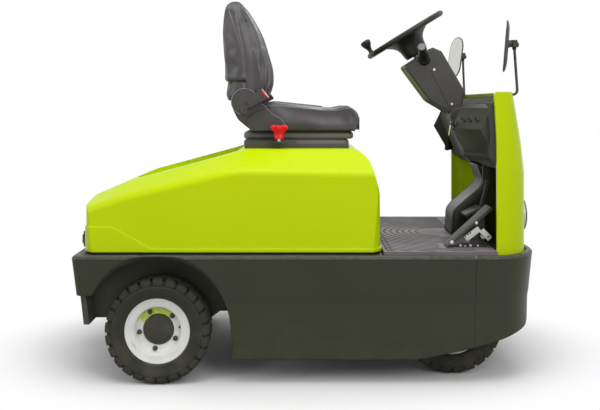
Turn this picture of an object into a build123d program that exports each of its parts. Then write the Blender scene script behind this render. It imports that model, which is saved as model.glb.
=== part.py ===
from build123d import *
from math import cos, radians, sin
import os

# Airport baggage tug: a four-wheeled, seated electric tow tractor.
# Millimetres. +X is forward, +Y is the driver's left, +Z is up.
# The origin is on the floor, under the middle of the whole machine.

# Wheelbase and overhangs
wheelbase = 1085.0
rear_axle_x = -505.0
rear_overhang = 306.0
front_overhang = 310.0
front_axle_x = rear_axle_x + wheelbase
body_rear = rear_axle_x - rear_overhang
body_front = front_axle_x + front_overhang

# Lower body: one band of heavy side skirts, front bumper and rear apron
body_half_width = 475.0
body_top = 466.0
skirt_bottom = 90.0
skirt_wall = 22.0
front_corner_radius = 200.0
rear_corner_radius = 22.0
inner_corner_radius = 4.0
top_edge = 7.0
crease_top = 324.0
crease_height = 34.0
upper_lean = 14.0
crease_depth = 5.0
lower_lean = 4.0
bumper_length = 250.0
bumper_joint_x = body_front - bumper_length
apron_half_width = 420.0
fender_bottom = 322.0
arch_leg_flare = 16.0
nose_bottom = 182.0
nose_radius = 45.0
nose_rise_length = 450.0
nose_rise_start = body_front - nose_rise_length

# Wheels
tyre_diameter = 382.0
tyre_width = 119.0
rear_tyre_recess = 14.0
front_tyre_recess = 129.0
rear_track = 2 * (body_half_width - rear_tyre_recess) - tyre_width
front_track = 2 * (body_half_width - front_tyre_recess) - tyre_width
axle_height = tyre_diameter / 2
arch_radius = 266.0
arch_edge = 8.0
lug_count = 25
lug_depth = 7.0
lug_share = 0.66
centre_band = 26.0
rim_radius = 112.0
flange_height = 7.0
rim_width = 92.0
flange_thickness = 6.0
rim_wall = 7.0
dish_radius = 85.0
dish_depth = 30.0
hub_radius = 56.0
hub_stand = 18.0
wheel_bolts = 5
wheel_bolt_circle = 138.0
wheel_bolt_radius = 8.0
stub_radius = 20.0
running_clearance = 0.1
seat_gap = 0.3

# Hood, with the battery under it and the seat on it
hood_inset = 34.0
hood_rear = body_rear + hood_inset
hood_front = 305.0
hood_half_width = body_half_width - hood_inset
hood_bottom = 475.0
hood_wall = 12.0
hood_rear_radius = 70.0
hood_front_radius = 60.0
shoulder_half_width = hood_half_width - 26
ridge_half_width = hood_half_width - 141
seat_deck = 840.0
hood_height = seat_deck - hood_bottom
channel_half_width = ridge_half_width - 38
channel_depth = 26.0
swage_height = 89.0
lip_height = 12.0
lip_stand = 4.0
hinge_x = body_rear + 13
hinge_z = hood_bottom + 7
hinge_y = 150.0
hinge_width = 30.0
hinge_radius = 7.0
hinge_pin_radius = 4.0
hinge_ear = 20.0
hinge_leaf_height = 46.0
hinge_leaf_thickness = 5.0
seal_width = 25.0
tail_lamp_y = (270.0, 350.0)
tail_lamp_z = (hood_bottom + 4, hood_bottom + 62)
tail_lamp_edge = 12.0
tail_lamp_depth = 16.0
tail_lens_depth = 5.0

# Frame
rail_thickness = 20.0
rail_tyre_gap = 37.0
rail_centre_y = (rear_track - tyre_width - rail_thickness) / 2 - rail_tyre_gap
rail_bottom = 203.0
rail_front_bottom = 243.0
rail_front = hood_front + 25
spine_half_width = 75.0
spine_bottom = 300.0
spine_front = body_front - 50
plate_thickness = 14.0
deck_opening_x = (body_rear + 121, hood_front - 65)
deck_opening_half = rail_centre_y - rail_thickness / 2 - 5
rear_plate_half_width = body_half_width - 77
rear_plate_bottom = 202.0
rear_plate_thickness = 20.0
rear_plate_lean = 14.0

# Battery and drive
battery_x = (-400.0, hood_front - 75)
battery_gap = 23.0
battery_half_width = rail_centre_y - rail_thickness / 2 - battery_gap
battery_z = (310.0, seat_deck - 100)
tray_thickness = 10.0
axle_tube_radius = 45.0
axle_seat_width = 60.0
axle_notch_height = 62.0
motor_radius = 72.0
motor_lift = 31.0
motor_front = -150.0
gear_case_radius = 105.0
gear_case_half_width = 80.0

# Front axle and steering
kingpin_offset = 91.5
kingpin_y = front_track / 2 - kingpin_offset
kingpin_radius = 15.0
beam_half_height = 25.0
beam_half_depth = 25.0
boss_radius = 28.0
ear_thickness = 20.0
ear_reach = 16.0
axle_pad_half_length = 40.0
axle_pad_half_width = 50.0
steering_arm = 110.0
arm_width = 34.0
tie_rod_radius = 10.0
tie_pin_radius = 7.0
tie_eye_radius = 17.0
tie_eye_height = 24.0
tie_pin_height = 30.0
open_eye_clearance = 1.0
pivot_gap = 0.5

# Footwell and front cowl
floor_top = 460.0
mat_thickness = 18.0
mat_top = floor_top + mat_thickness
mat_gap = 8.0
cowl_half_width = body_half_width - 45
cowl_front = body_front - 39
cowl_depth = 127.0
cowl_rear = cowl_front - cowl_depth
cowl_wall = 12.0
cowl_bottom = floor_top
cowl_top = 1055.0
cowl_corner_radius = 118.0
headlamp_y = 270.0
headlamp_z = 590.0
headlamp_radius = 62.0
headlamp_stand = 6.0
dash_bottom = 770.0
dash_half_width = cowl_half_width - 30
bulge_half_width = 105.0
console_y = (190.0, 400.0)
console_flare = -0.35
pedestal_y = (-100.0, 80.0)

# Pedals, all on the driver's right
pedal_y = (-370.0, -290.0)
pedal_post_y = (-345.0, -339.0)
brake_pad_y = (-210.0, -120.0)
brake_arm_y = (-172.0, -158.0)
brake_pivot = (cowl_rear + 28, 700.0)
brake_pivot_radius = 10.0
pedal_base_height = 6.0

# Steering column and wheel
wheel_centre = (cowl_rear - 276, 0.0, 1300.0)
column_tilt = 31.6
steering_wheel_diameter = 360.0
wheel_tube_radius = 10.0
spoke_count = 3
spoke_thickness = 9.0
spoke_depth = 8.0
hub_length = 90.0
column_cover_start = 108.0
column_cover_width = 140.0
column_radius = 19.0
shaft_top = 24.0
shaft_length = 420.0
column_clearance = 0.6
lever_length = 105.0
lever_radius = 7.0
lever_grip_radius = 19.0
lever_grip_length = 26.0

# Mirrors
mirror_width = 122.0
mirror_height = 196.0
mirror_depth = 15.0
mirror_corner = 46.0
mirror_rim = 5.0
glass_thickness = 3.0
mirror_inset = 70.0
mirror_centre_z = cowl_top + 171
mirror_bend = 16.0
stalk_radius = 5.0
ball_radius = 12.0
ball_height = 26.0
clamp_radius = 13.0
clamp_length = 12.0
stalk_pad_half = 15.0
stalk_top = cowl_top + 167

# Seat, measured from the deck that it stands on
seat_half_width = 240.0
pad_half_width = seat_half_width - 5
bellows_x = (-212.0, 203.0)
bellows_half_width = 200.0
bellows_height = 65.0
pan_x = (-185.0, 225.0)
pan_half_width = 215.0
pan_thickness = 6.0
pan_bottom = seat_deck + bellows_height
cushion_bottom = pan_bottom + pan_thickness
recliner_x = -203.0
recliner_z = cushion_bottom + 108
recliner_radius = 52.0
cover_thickness = 20.0
cover_step = 5.0
fold_depth = 14.0
fold_radius = 25.0
rail_plate_height = 28.0
rail_runner_height = 12.0
shelf_height = 6.0
buckle_width = 22.0

# Tow coupling
coupling_rear = body_rear - 79
jaw_gap = 42.0
jaw_centre_z = 270.0
jaw_plate = 18.0
jaw_half_width = 55.0
jaw_back_half_width = 90.0
jaw_back_thickness = 12.0
tow_pin_x = body_rear - 39
tow_pin_radius = 12.5
tow_collar_radius = 20.0
tow_grip_radius = 8.0
tow_grip_half_length = 32.0
tow_grip_height = 24.0

node_shapes = {}


def block(x, y, z):
    """A box from its two limits along each axis."""
    sizes = [high - low for low, high in (x, y, z)]
    centre = [(low + high) / 2 for low, high in (x, y, z)]
    return Pos(*centre) * Box(*sizes)


def side_solid(corners, y_from, y_to, radii=0.0):
    """An outline of (x, z) corners, given thickness between two y values."""
    points = [(x, y_from, z) for x, z in corners]
    outline = make_face(FilletPolyline(*points, radius=radii, close=True))
    return extrude(outline, amount=y_to - y_from, dir=(0, 1, 0))


def rounded_side(rows, y_from, y_to):
    """Like side_solid, from rows of (x, z, corner radius)."""
    return side_solid([row[:2] for row in rows], y_from, y_to, [row[2] for row in rows])


def from_cowl(rows):
    """Rows whose first number is a distance from the cowl's rear edge, with x in its place."""
    return [(cowl_rear + row[0], *row[1:]) for row in rows]


def above_deck(rows):
    """Rows whose second number is a height above the seat deck, with z in its place."""
    return [(row[0], seat_deck + row[1], *row[2:]) for row in rows]


def plan_face(x, half_width, z, rear_radius, front_radius):
    """A rectangle seen from above, with its own corner radii at the rear and the front."""
    rear, front = x
    points = [(rear, -half_width, z), (front, -half_width, z), (front, half_width, z), (rear, half_width, z)]
    radii = [rear_radius, front_radius, front_radius, rear_radius]
    return make_face(FilletPolyline(*points, radius=radii, close=True))


def rod(start, end, radius):
    """A round bar between two points."""
    run = Vector(*end) - Vector(*start)
    bar = Cylinder(radius, run.length, align=(Align.CENTER, Align.CENTER, Align.MIN))
    return Plane(origin=start, z_dir=run) * bar


def cross_rod(x, z, y_from, y_to, radius):
    """A round bar across the machine."""
    return rod((x, y_from, z), (x, y_to, z), radius)


def mirrored(shape):
    """The same shape on the other side of the machine."""
    return mirror(shape, about=Plane.XZ)


def keep(name, *shapes):
    """Store a node's solids under its name."""
    solids = [solid for shape in shapes for solid in shape.solids()]
    node_shapes[name] = Compound(solids) if len(solids) > 1 else solids[0]


# Lower body

def body_form(wall):
    """The lower body's outer form, or with a wall the space inside it."""
    # height, how far in the side is there
    levels = [
        (skirt_bottom, upper_lean + crease_depth + lower_lean),
        (crease_top - crease_height, upper_lean + crease_depth),
        (crease_top, upper_lean),
        (body_top, 0.0),
    ]
    if wall == 0:
        edge_lean = upper_lean * top_edge / (body_top - crease_top)
        levels[-1:] = [(body_top - top_edge, edge_lean), (body_top, top_edge)]
    sections = []
    for z, lean in levels:
        inset = lean + wall
        span = (body_rear + inset, body_front - inset)
        rear_radius = max(rear_corner_radius - wall, inner_corner_radius)
        front_radius = front_corner_radius - inset
        sections.append(plan_face(span, body_half_width - inset, z, rear_radius, front_radius))
    return loft(sections, ruled=True)


def wheel_arch():
    """What is cut from the sides for the rear wheels, open at the bottom, with its outer edge broken."""
    across = body_half_width + 10
    skirt_edge = rear_axle_x + arch_radius
    arch = cross_rod(rear_axle_x, axle_height, -across, across, arch_radius)
    leg_foot = skirt_edge + arch_leg_flare
    leg_corners = [(rear_axle_x, axle_height), (skirt_edge, axle_height), (leg_foot, 0), (rear_axle_x, 0)]
    leg = side_solid(leg_corners, -across, across)
    behind = block((body_rear - 10, rear_axle_x), (-across, across), (0, fender_bottom))
    lean_there = upper_lean + crease_depth
    flare = Cone(
        arch_radius, arch_radius + 2 * lean_there, 2 * lean_there,
        align=(Align.CENTER, Align.CENTER, Align.MIN),
    )
    start = body_half_width - arch_edge - lean_there / 2
    edge = Plane(origin=(rear_axle_x, -start, axle_height), z_dir=(0, -1, 0)) * flare
    return arch + leg + behind + edge + mirrored(edge)


def nose_rise():
    """What is cut from below the front, where the skirt rises to the bumper."""
    across = body_half_width + 10
    below = skirt_bottom - 20
    nose = body_front - upper_lean - crease_depth - lower_lean
    # x, z, radius of each corner
    rows = [
        (nose_rise_start - 200, below, 0.0),
        (nose_rise_start - 200, skirt_bottom, 0.0),
        (nose_rise_start, skirt_bottom, 500.0),
        (nose_rise_start + 174, skirt_bottom + 37, 300.0),
        (nose - 15, nose_bottom + 12, nose_radius / 2),
        (nose + 4, nose_bottom + 62, 0.0),
        (body_front + 20, nose_bottom + 62, 0.0),
        (body_front + 20, below, 0.0),
    ]
    return rounded_side(rows, -across, across)


def make_lower_body():
    shell = body_form(0) - body_form(skirt_wall) - wheel_arch() - nose_rise()
    far = body_front + 10
    height = (0, body_top + 10)
    bumper_zone = block((bumper_joint_x, far), (-far, far), height)
    apron_zone = block((-far, rear_axle_x), (-apron_half_width, apron_half_width), height)
    sides = shell - bumper_zone - apron_zone
    right_zone = block((-far, far), (-far, 0), height)
    keep("side_skirt_right", sides & right_zone)
    keep("side_skirt_left", sides - right_zone)
    keep("front_bumper", shell & bumper_zone)
    keep("rear_apron", shell & apron_zone)


def make_decks():
    inside = body_form(skirt_wall)
    across = (-body_half_width, body_half_width)
    deck_zone = block((body_rear, hood_front), across, (body_top - plate_thickness, body_top))
    compartment = block(deck_opening_x, (-deck_opening_half, deck_opening_half), (0, body_top + 10))
    notch = cross_rod(rear_axle_x, axle_height, -body_half_width, body_half_width, arch_radius)
    keep("rear_deck", (inside & deck_zone) - compartment - notch)
    floor_zone = block((hood_front, body_front), across, (floor_top - plate_thickness, floor_top))
    keep("floor_plate", inside & floor_zone)
    mat_form = body_form(skirt_wall + mat_gap)
    mat = extrude(mat_form.faces().sort_by(Axis.Z)[-1], amount=mat_thickness, dir=(0, 0, 1))
    mat = Pos(0, 0, floor_top - body_top) * mat
    mat_zone = block((hood_front + mat_gap, cowl_rear), across, (floor_top, floor_top + mat_thickness))
    keep("floor_mat", mat & mat_zone)


# Frame, battery and drive

def rear_wall_x(z):
    """Where a piece that seats against the inside of the rear apron ends, at a height."""
    slope = upper_lean / (body_top - crease_top)
    return body_rear + skirt_wall + seat_gap + (body_top - z) * slope


def rear_plate_x(z):
    """Where the outer face of the rear plate is at a height, under the apron."""
    top_x = rear_wall_x(fender_bottom) - seat_gap - skirt_wall
    return top_x + rear_plate_lean * (fender_bottom - z) / (fender_bottom - rear_plate_bottom)


def make_frame():
    rail_top = body_top - plate_thickness
    half = rail_thickness / 2
    rail_rear = rear_wall_x(fender_bottom)
    rise_start = rear_axle_x + arch_radius - 87
    rail_corners = [
        (rail_rear, rail_bottom), (rise_start, rail_bottom), (rise_start + 55, rail_front_bottom),
        (rail_front, rail_front_bottom), (rail_front, rail_top), (rail_rear, rail_top),
    ]
    rail = side_solid(rail_corners, rail_centre_y - half, rail_centre_y + half)
    notch_half = axle_tube_radius + 20
    notch_top = axle_height + axle_notch_height
    notch_x = (rear_axle_x - notch_half, rear_axle_x + notch_half)
    rail -= block(notch_x, (0, body_half_width), (0, notch_top))
    between = (half - rail_centre_y, rail_centre_y - half)
    cross_x = (rail_front - rail_thickness, rail_front)
    floor_bottom = floor_top - plate_thickness
    front_cross = block(cross_x, between, (rail_front_bottom, floor_bottom))
    tray = block((battery_x[0], cross_x[0]), between, (battery_z[0] - tray_thickness, battery_z[0]))
    spine_y = (-spine_half_width, spine_half_width)
    spine = block((rail_front, spine_front), spine_y, (spine_bottom, floor_bottom))
    across = (-body_half_width, body_half_width)
    under_floor = block((hood_front, spine_front), across, (floor_bottom, body_top))
    keep("chassis_frame", rail + mirrored(rail) + front_cross + tray + spine - under_floor)
    rear_face = [(rear_plate_x(z), z) for z in (fender_bottom, rear_plate_bottom)]
    front_face = [(x + rear_plate_thickness, z) for x, z in reversed(rear_face)]
    plate = side_solid(rear_face + front_face, -rear_plate_half_width, rear_plate_half_width)
    keep("rear_plate", plate - rail - mirrored(rail))
    keep("battery", block(battery_x, (-battery_half_width, battery_half_width), battery_z))


def make_drive():
    hub_face = rear_track / 2 - 30
    tube = cross_rod(rear_axle_x, axle_height, -hub_face, hub_face, axle_tube_radius)
    shaft = cross_rod(rear_axle_x, axle_height, -rear_track / 2, rear_track / 2, stub_radius)
    case = cross_rod(rear_axle_x, axle_height, -gear_case_half_width, gear_case_half_width, gear_case_radius)
    motor_z = axle_height + motor_lift
    motor = rod((rear_axle_x, 0, motor_z), (motor_front, 0, motor_z), motor_radius)
    seat_top = axle_height + axle_notch_height
    half = axle_seat_width / 2
    seat = block(
        (rear_axle_x - half, rear_axle_x + half),
        (rail_centre_y - half, rail_centre_y + half),
        (axle_height, seat_top),
    )
    keep("drive_axle", tube + shaft + case + motor + seat + mirrored(seat))


# Wheels

def tyre():
    """A block-tread industrial tyre with its outer side towards -Y."""
    outer = tyre_diameter / 2
    half = tyre_width / 2
    base = outer - lug_depth
    bead = rim_width / 2 - flange_thickness
    side = [
        (rim_radius, bead),
        (rim_radius + flange_height + 0.3, bead),
        (rim_radius + flange_height + 1, rim_width / 2 + 4),
        (outer - 40, half),
        (outer - 28, half - 4),
        (base, half - 12),
        (base, centre_band / 2 + 3),
        (outer, centre_band / 2),
    ]
    profile = [(r, y, 0) for r, y in side] + [(r, -y, 0) for r, y in reversed(side)]
    carcass = revolve(make_face(Polyline(*profile, close=True)), axis=Axis.Y)
    pitch = 360 / lug_count
    reach = radians(pitch * lug_share / 2)
    foot = outer - 30
    lug = make_face(Polyline(
        (foot * cos(reach), 0, -foot * sin(reach)),
        ((outer + 5) * cos(reach), 0, -(outer + 5) * sin(reach)),
        ((outer + 5) * cos(reach), 0, (outer + 5) * sin(reach)),
        (foot * cos(reach), 0, foot * sin(reach)),
        close=True,
    ))
    lugs = extrude(lug, amount=tyre_width / 2, dir=(0, -1, 0))
    lug_form = make_face(Polyline(
        (0, -centre_band / 2, 0),
        (outer, -centre_band / 2, 0),
        (outer, -half + 9, 0),
        (outer - 26, -half + 1, 0),
        (0, -half + 1, 0),
        close=True,
    ))
    lugs = lugs & revolve(lug_form, axis=Axis.Y)
    ring = [Rot(0, step * pitch, 0) * lugs for step in range(lug_count)]
    other = [Rot(0, (step + 0.5) * pitch, 0) * mirrored(lugs) for step in range(lug_count)]
    return carcass + ring + other


def rim():
    """The pressed steel rim and its dished disc, outer side towards -Y."""
    half = rim_width / 2
    flange = rim_radius + flange_height
    inner = rim_radius - rim_wall
    disc = -half + dish_depth
    profile = [
        (flange, -half), (flange, -half + flange_thickness), (rim_radius, -half + flange_thickness),
        (rim_radius, half - flange_thickness), (flange, half - flange_thickness), (flange, half),
        (inner, half), (inner, disc + 12), (dish_radius, disc + 9), (stub_radius + 20, disc + 9),
        (stub_radius + 20, disc), (dish_radius, disc), (inner, -half + 4), (inner + 3, -half),
    ]
    face = make_face(Polyline(*[(r, y, 0) for r, y in profile], close=True))
    return revolve(face, axis=Axis.Y)


def hub():
    """The dark hub with its cap, bore and wheel bolts."""
    disc = -rim_width / 2 + dish_depth
    cap_face = disc - hub_stand
    bore = stub_radius + running_clearance
    cap = [
        (0, cap_face), (hub_radius - 12, cap_face), (hub_radius, cap_face + 10), (hub_radius, disc),
        (stub_radius + 20, disc), (stub_radius + 20, 28), (bore, 28), (bore, disc - 4), (0, disc - 4),
    ]
    body = revolve(make_face(Polyline(*[(r, y, 0) for r, y in cap], close=True)), axis=Axis.Y)
    bolts = []
    for step in range(wheel_bolts):
        angle = radians(44 + step * 360 / wheel_bolts)
        x = wheel_bolt_circle / 2 * cos(angle)
        z = wheel_bolt_circle / 2 * sin(angle)
        bolts.append(rod((x, disc - 9, z), (x, disc, z), wheel_bolt_radius))
    return [body] + bolts


def make_wheels():
    pieces = {"tyre": [tyre()], "rim": [rim()], "hub": hub()}
    # name, x, y of each wheel's middle
    places = [
        ("front_right", front_axle_x, -front_track / 2),
        ("front_left", front_axle_x, front_track / 2),
        ("rear_right", rear_axle_x, -rear_track / 2),
        ("rear_left", rear_axle_x, rear_track / 2),
    ]
    for place, x, y in places:
        turn = 180 if y > 0 else 0
        for piece, shapes in pieces.items():
            keep(piece + "_" + place, *[Pos(x, y, axle_height) * Rot(0, 0, turn) * shape for shape in shapes])


# Front axle and steering linkage

def make_front_axle():
    x = front_axle_x
    reach = kingpin_y - 10
    low = axle_height - beam_half_height
    high = axle_height + beam_half_height
    beam = block((x - beam_half_depth, x + beam_half_depth), (-reach, reach), (low, high))
    boss = rod((x, kingpin_y, low), (x, kingpin_y, high), boss_radius)
    hole = rod((x, kingpin_y, 0), (x, kingpin_y, 2 * axle_height), kingpin_radius + running_clearance)
    pad_x = (x - axle_pad_half_length, x + axle_pad_half_length)
    pad = block(pad_x, (-axle_pad_half_width, axle_pad_half_width), (high, spine_bottom))
    keep("front_axle_beam", beam + boss + mirrored(boss) + pad - hole - mirrored(hole))


def knuckle():
    """The right-hand steering knuckle: fork, kingpin, stub axle and steering arm."""
    x = front_axle_x
    y = -kingpin_y
    low = axle_height - beam_half_height - pivot_gap
    high = axle_height + beam_half_height + pivot_gap
    kingpin = rod((x, y, low - ear_thickness), (x, y, high + ear_thickness), kingpin_radius)
    ears = []
    fork_x = (x - boss_radius, x + boss_radius)
    for z in (low - ear_thickness, high):
        round_end = rod((x, y, z), (x, y, z + ear_thickness), boss_radius)
        tongue = block(fork_x, (y - boss_radius - ear_reach, y), (z, z + ear_thickness))
        ears += [round_end, tongue]
    web_y = (y - boss_radius - ear_reach, y - boss_radius - 2)
    web = block(fork_x, web_y, (low - ear_thickness, high + ear_thickness))
    stub = cross_rod(x, axle_height, -front_track / 2, y - boss_radius - 2, stub_radius)
    arm_z = (low - ear_thickness, low)
    half = arm_width / 2
    arm = block((x - steering_arm, x), (y - half, y + half), arm_z)
    end_x = x - steering_arm
    arm_end = rod((end_x, y, arm_z[0]), (end_x, y, arm_z[1]), half)
    tie_pin = rod((end_x, y, arm_z[1]), (end_x, y, arm_z[1] + tie_pin_height), tie_pin_radius)
    return kingpin + ears + web + stub + arm + arm_end + tie_pin


def make_steering_linkage():
    keep("knuckle_right", knuckle())
    keep("knuckle_left", mirrored(knuckle()))
    x = front_axle_x - steering_arm
    z = axle_height - beam_half_height
    top = z + tie_eye_height
    eye = rod((x, -kingpin_y, z), (x, -kingpin_y, top), tie_eye_radius)
    ends = ((x, -kingpin_y, z - 1), (x, -kingpin_y, top + 1))
    hole = rod(*ends, tie_pin_radius + running_clearance)
    open_hole = rod(*ends, tie_pin_radius + open_eye_clearance)
    reach = kingpin_y - tie_eye_radius + 5
    bar = cross_rod(x, z + tie_eye_height / 2, -reach, reach, tie_rod_radius)
    keep("tie_rod", bar + eye + mirrored(eye) - hole - mirrored(open_hole))


# Hood

# x, height of the shoulder crease, height of the ridge, both as shares of the hood's height
hood_stations = [
    (hood_rear - 10.0, 0.416, 0.501),
    (hood_rear + 137.0, 0.540, 0.668),
    (hood_rear + 495.0, 0.773, 0.934),
    (hood_rear + 577.0, 0.797, 1.0),
    (hood_front + 10.0, 0.773, 1.0),
]
end_rise = 2.0


def ridge_height(x):
    """The height of the hood's ridge, between its stations."""
    for (x_low, _, low), (x_high, _, high) in zip(hood_stations, hood_stations[1:]):
        if x_low <= x <= x_high:
            share = low + (high - low) * (x - x_low) / (x_high - x_low)
            return hood_bottom + share * hood_height
    return seat_deck


def hood_profile(inset):
    """What rounds off the hood's two ends, seen from the side."""
    drop = end_rise - inset
    bottom = hood_bottom - (10 if inset > 0 else 0)
    rear = hood_rear + inset
    front = hood_front - inset
    # x, z, radius of each corner
    rows = [(rear, ridge_height(hood_rear) + drop, 48.0)]
    rows += [(x, ridge_height(x) + drop, 0.0) for x, _, _ in hood_stations[1:-1]]
    rows += [
        (front - 47, seat_deck + drop, 85.0),
        (front - 4, hood_bottom + 0.59 * hood_height, 150.0),
        (front, bottom, 0.0),
        (rear, bottom, 0.0),
    ]
    return rounded_side(rows, -hood_half_width - 20, hood_half_width + 20)


def hood_form(inset):
    """The hood's outer form, or with an inset the space inside it."""
    bottom = hood_bottom - 20
    sections = []
    for x, shoulder, ridge in hood_stations:
        half = [
            (hood_half_width - inset, bottom),
            (shoulder_half_width - inset, hood_bottom + shoulder * hood_height - inset),
            (ridge_half_width - inset, hood_bottom + ridge * hood_height - inset),
        ]
        points = [(x, -y, z) for y, z in half] + [(x, y, z) for y, z in reversed(half)]
        sections.append(make_face(FilletPolyline(*points, radius=[0, 35, 18, 18, 35, 0], close=True)))
    form = loft(sections, ruled=True)
    span = (hood_rear + inset, hood_front - inset)
    radii = (hood_rear_radius - inset, hood_front_radius - inset)
    outline = plan_face(span, hood_half_width + 5 - inset, bottom, *radii)
    return form & hood_profile(inset) & extrude(outline, amount=2 * seat_deck, dir=(0, 0, 1))


def hood_channel(grow):
    """The sunk channel between the two ridges behind the seat."""
    start_x = hood_rear + 55
    end_x = hood_stations[2][0] + 52
    # x, how far the floor is under the ridges
    floor = [
        (start_x, 0.0), (start_x + 50, channel_depth), (hood_stations[1][0], channel_depth),
        (hood_stations[2][0], channel_depth), (end_x, channel_depth),
    ]
    corners = [(x, ridge_height(x) - depth - grow) for x, depth in floor]
    corners[0] = (start_x - grow, corners[0][1])
    corners[-1] = (end_x + grow, corners[-1][1])
    above = seat_deck + 60
    corners += [(end_x + 8 + grow, above), (start_x - grow, above)]
    half = channel_half_width + grow
    return side_solid(corners, -half, half)


def make_hood():
    outer = hood_form(0) - hood_channel(0)
    inner = hood_form(hood_wall) - hood_channel(hood_wall)
    swage_top = hood_bottom + swage_height
    lip_top = hood_bottom + lip_height
    # x, z, radius of each corner
    band = [
        (hood_rear - 10, hood_bottom, 0.0), (hood_front + 10, hood_bottom, 0.0),
        (hood_front + 10, lip_top, 0.0), (hood_rear + 249, lip_top, 60.0),
        (hood_rear + 105, swage_top, 45.0), (hood_rear - 10, swage_top, 0.0),
    ]
    swage = rounded_side(band, -hood_half_width - 10, hood_half_width + 10)
    raised = hood_form(-lip_stand) & swage
    keep("hood", outer + raised - inner)
    seal_z = (body_top, hood_bottom - seat_gap)
    span = (hood_rear, hood_front)
    ring_outer = plan_face(span, hood_half_width, seal_z[0], hood_rear_radius, hood_front_radius)
    inner_span = (hood_rear + seal_width, hood_front - seal_width)
    inner_radii = (hood_rear_radius - seal_width, hood_front_radius - seal_width)
    ring_inner = plan_face(inner_span, hood_half_width - seal_width, seal_z[0], *inner_radii)
    keep("hood_seal", extrude(ring_outer - ring_inner, amount=seal_z[1] - seal_z[0], dir=(0, 0, 1)))


def make_hinges():
    """Two hinges behind the hood: knuckles on the apron and a leaf on the hood."""
    brackets = []
    leaves = []
    half = hinge_width / 2
    face = hood_rear - lip_stand
    for middle in (-hinge_y, hinge_y):
        leaf_y = (middle - half, middle + half)
        ear_end = (leaf_y[0] - hinge_ear, leaf_y[1] + hinge_ear)
        pin = cross_rod(hinge_x, hinge_z, *ear_end, hinge_pin_radius)
        for y in ((ear_end[0], leaf_y[0] - pivot_gap), (leaf_y[1] + pivot_gap, ear_end[1])):
            foot = block((hinge_x - hinge_radius, hinge_x + hinge_radius), y, (body_top, hinge_z))
            pin += cross_rod(hinge_x, hinge_z, *y, hinge_radius) + foot
        brackets.append(pin)
        knuckle_end = cross_rod(hinge_x, hinge_z, *leaf_y, hinge_radius)
        tongue = block((hinge_x, face), leaf_y, (hinge_z, hinge_z + hinge_radius))
        plate_z = (hinge_z, hinge_z + hinge_leaf_height)
        plate = block((face - hinge_leaf_thickness, face), leaf_y, plate_z)
        bore_radius = hinge_pin_radius + running_clearance
        bore = cross_rod(hinge_x, hinge_z, leaf_y[0] - 1, leaf_y[1] + 1, bore_radius)
        leaves.append(knuckle_end + tongue + plate - bore)
    keep("hinge_brackets", *brackets)
    keep("hinge_leaves", *leaves)


def make_tail_lamps():
    housings = []
    lenses = []
    back = hood_rear - lip_stand
    face = back - tail_lamp_depth
    lens_z = (tail_lamp_z[0] + tail_lamp_edge, tail_lamp_z[1] - tail_lamp_edge - 1)
    for side in (-1, 1):
        y = sorted((side * tail_lamp_y[0], side * tail_lamp_y[1]))
        housings.append(block((face, back), y, tail_lamp_z))
        lens_y = (y[0] + tail_lamp_edge / 2, y[1] - tail_lamp_edge / 2)
        lenses.append(block((face - tail_lens_depth, face), lens_y, lens_z))
    keep("tail_lamp_housings", *housings)
    keep("tail_lamp_lenses", *lenses)


# Cowl, dash and what stands in the footwell

# height, how far the front is behind the cowl's foremost plane, how far the rear edge leans back
cowl_levels = [
    (cowl_bottom, 0.0, 0.0), (758.0, 0.0, 0.0), (877.0, 18.0, 1.0), (993.0, 43.0, 7.0),
    (cowl_top - 10, 55.0, 11.0), (cowl_top, 59.0, 3.0),
]


def cowl_form(wall):
    """The cowl's outer form, or with a wall the space inside it."""
    sections = []
    for z, back, lean in cowl_levels:
        front = cowl_front - back - wall
        rear = cowl_rear - lean - (20 if wall else 0)
        radius = cowl_corner_radius - back - wall
        sections.append(plan_face((rear, front), cowl_half_width - wall, z, 0, radius))
    return loft(sections, ruled=True)


def make_cowl():
    lamps = []
    cowl = cowl_form(0) - cowl_form(cowl_wall)
    for y in (-headlamp_y, headlamp_y):
        start = (cowl_front - cowl_wall, y, headlamp_z)
        cowl -= rod((start[0] - 40, y, headlamp_z), (cowl_front + 10, y, headlamp_z), headlamp_radius)
        lamps.append(rod(start, (cowl_front + headlamp_stand, y, headlamp_z), headlamp_radius))
    keep("front_cowl", cowl)
    keep("headlamps", *lamps)


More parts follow.
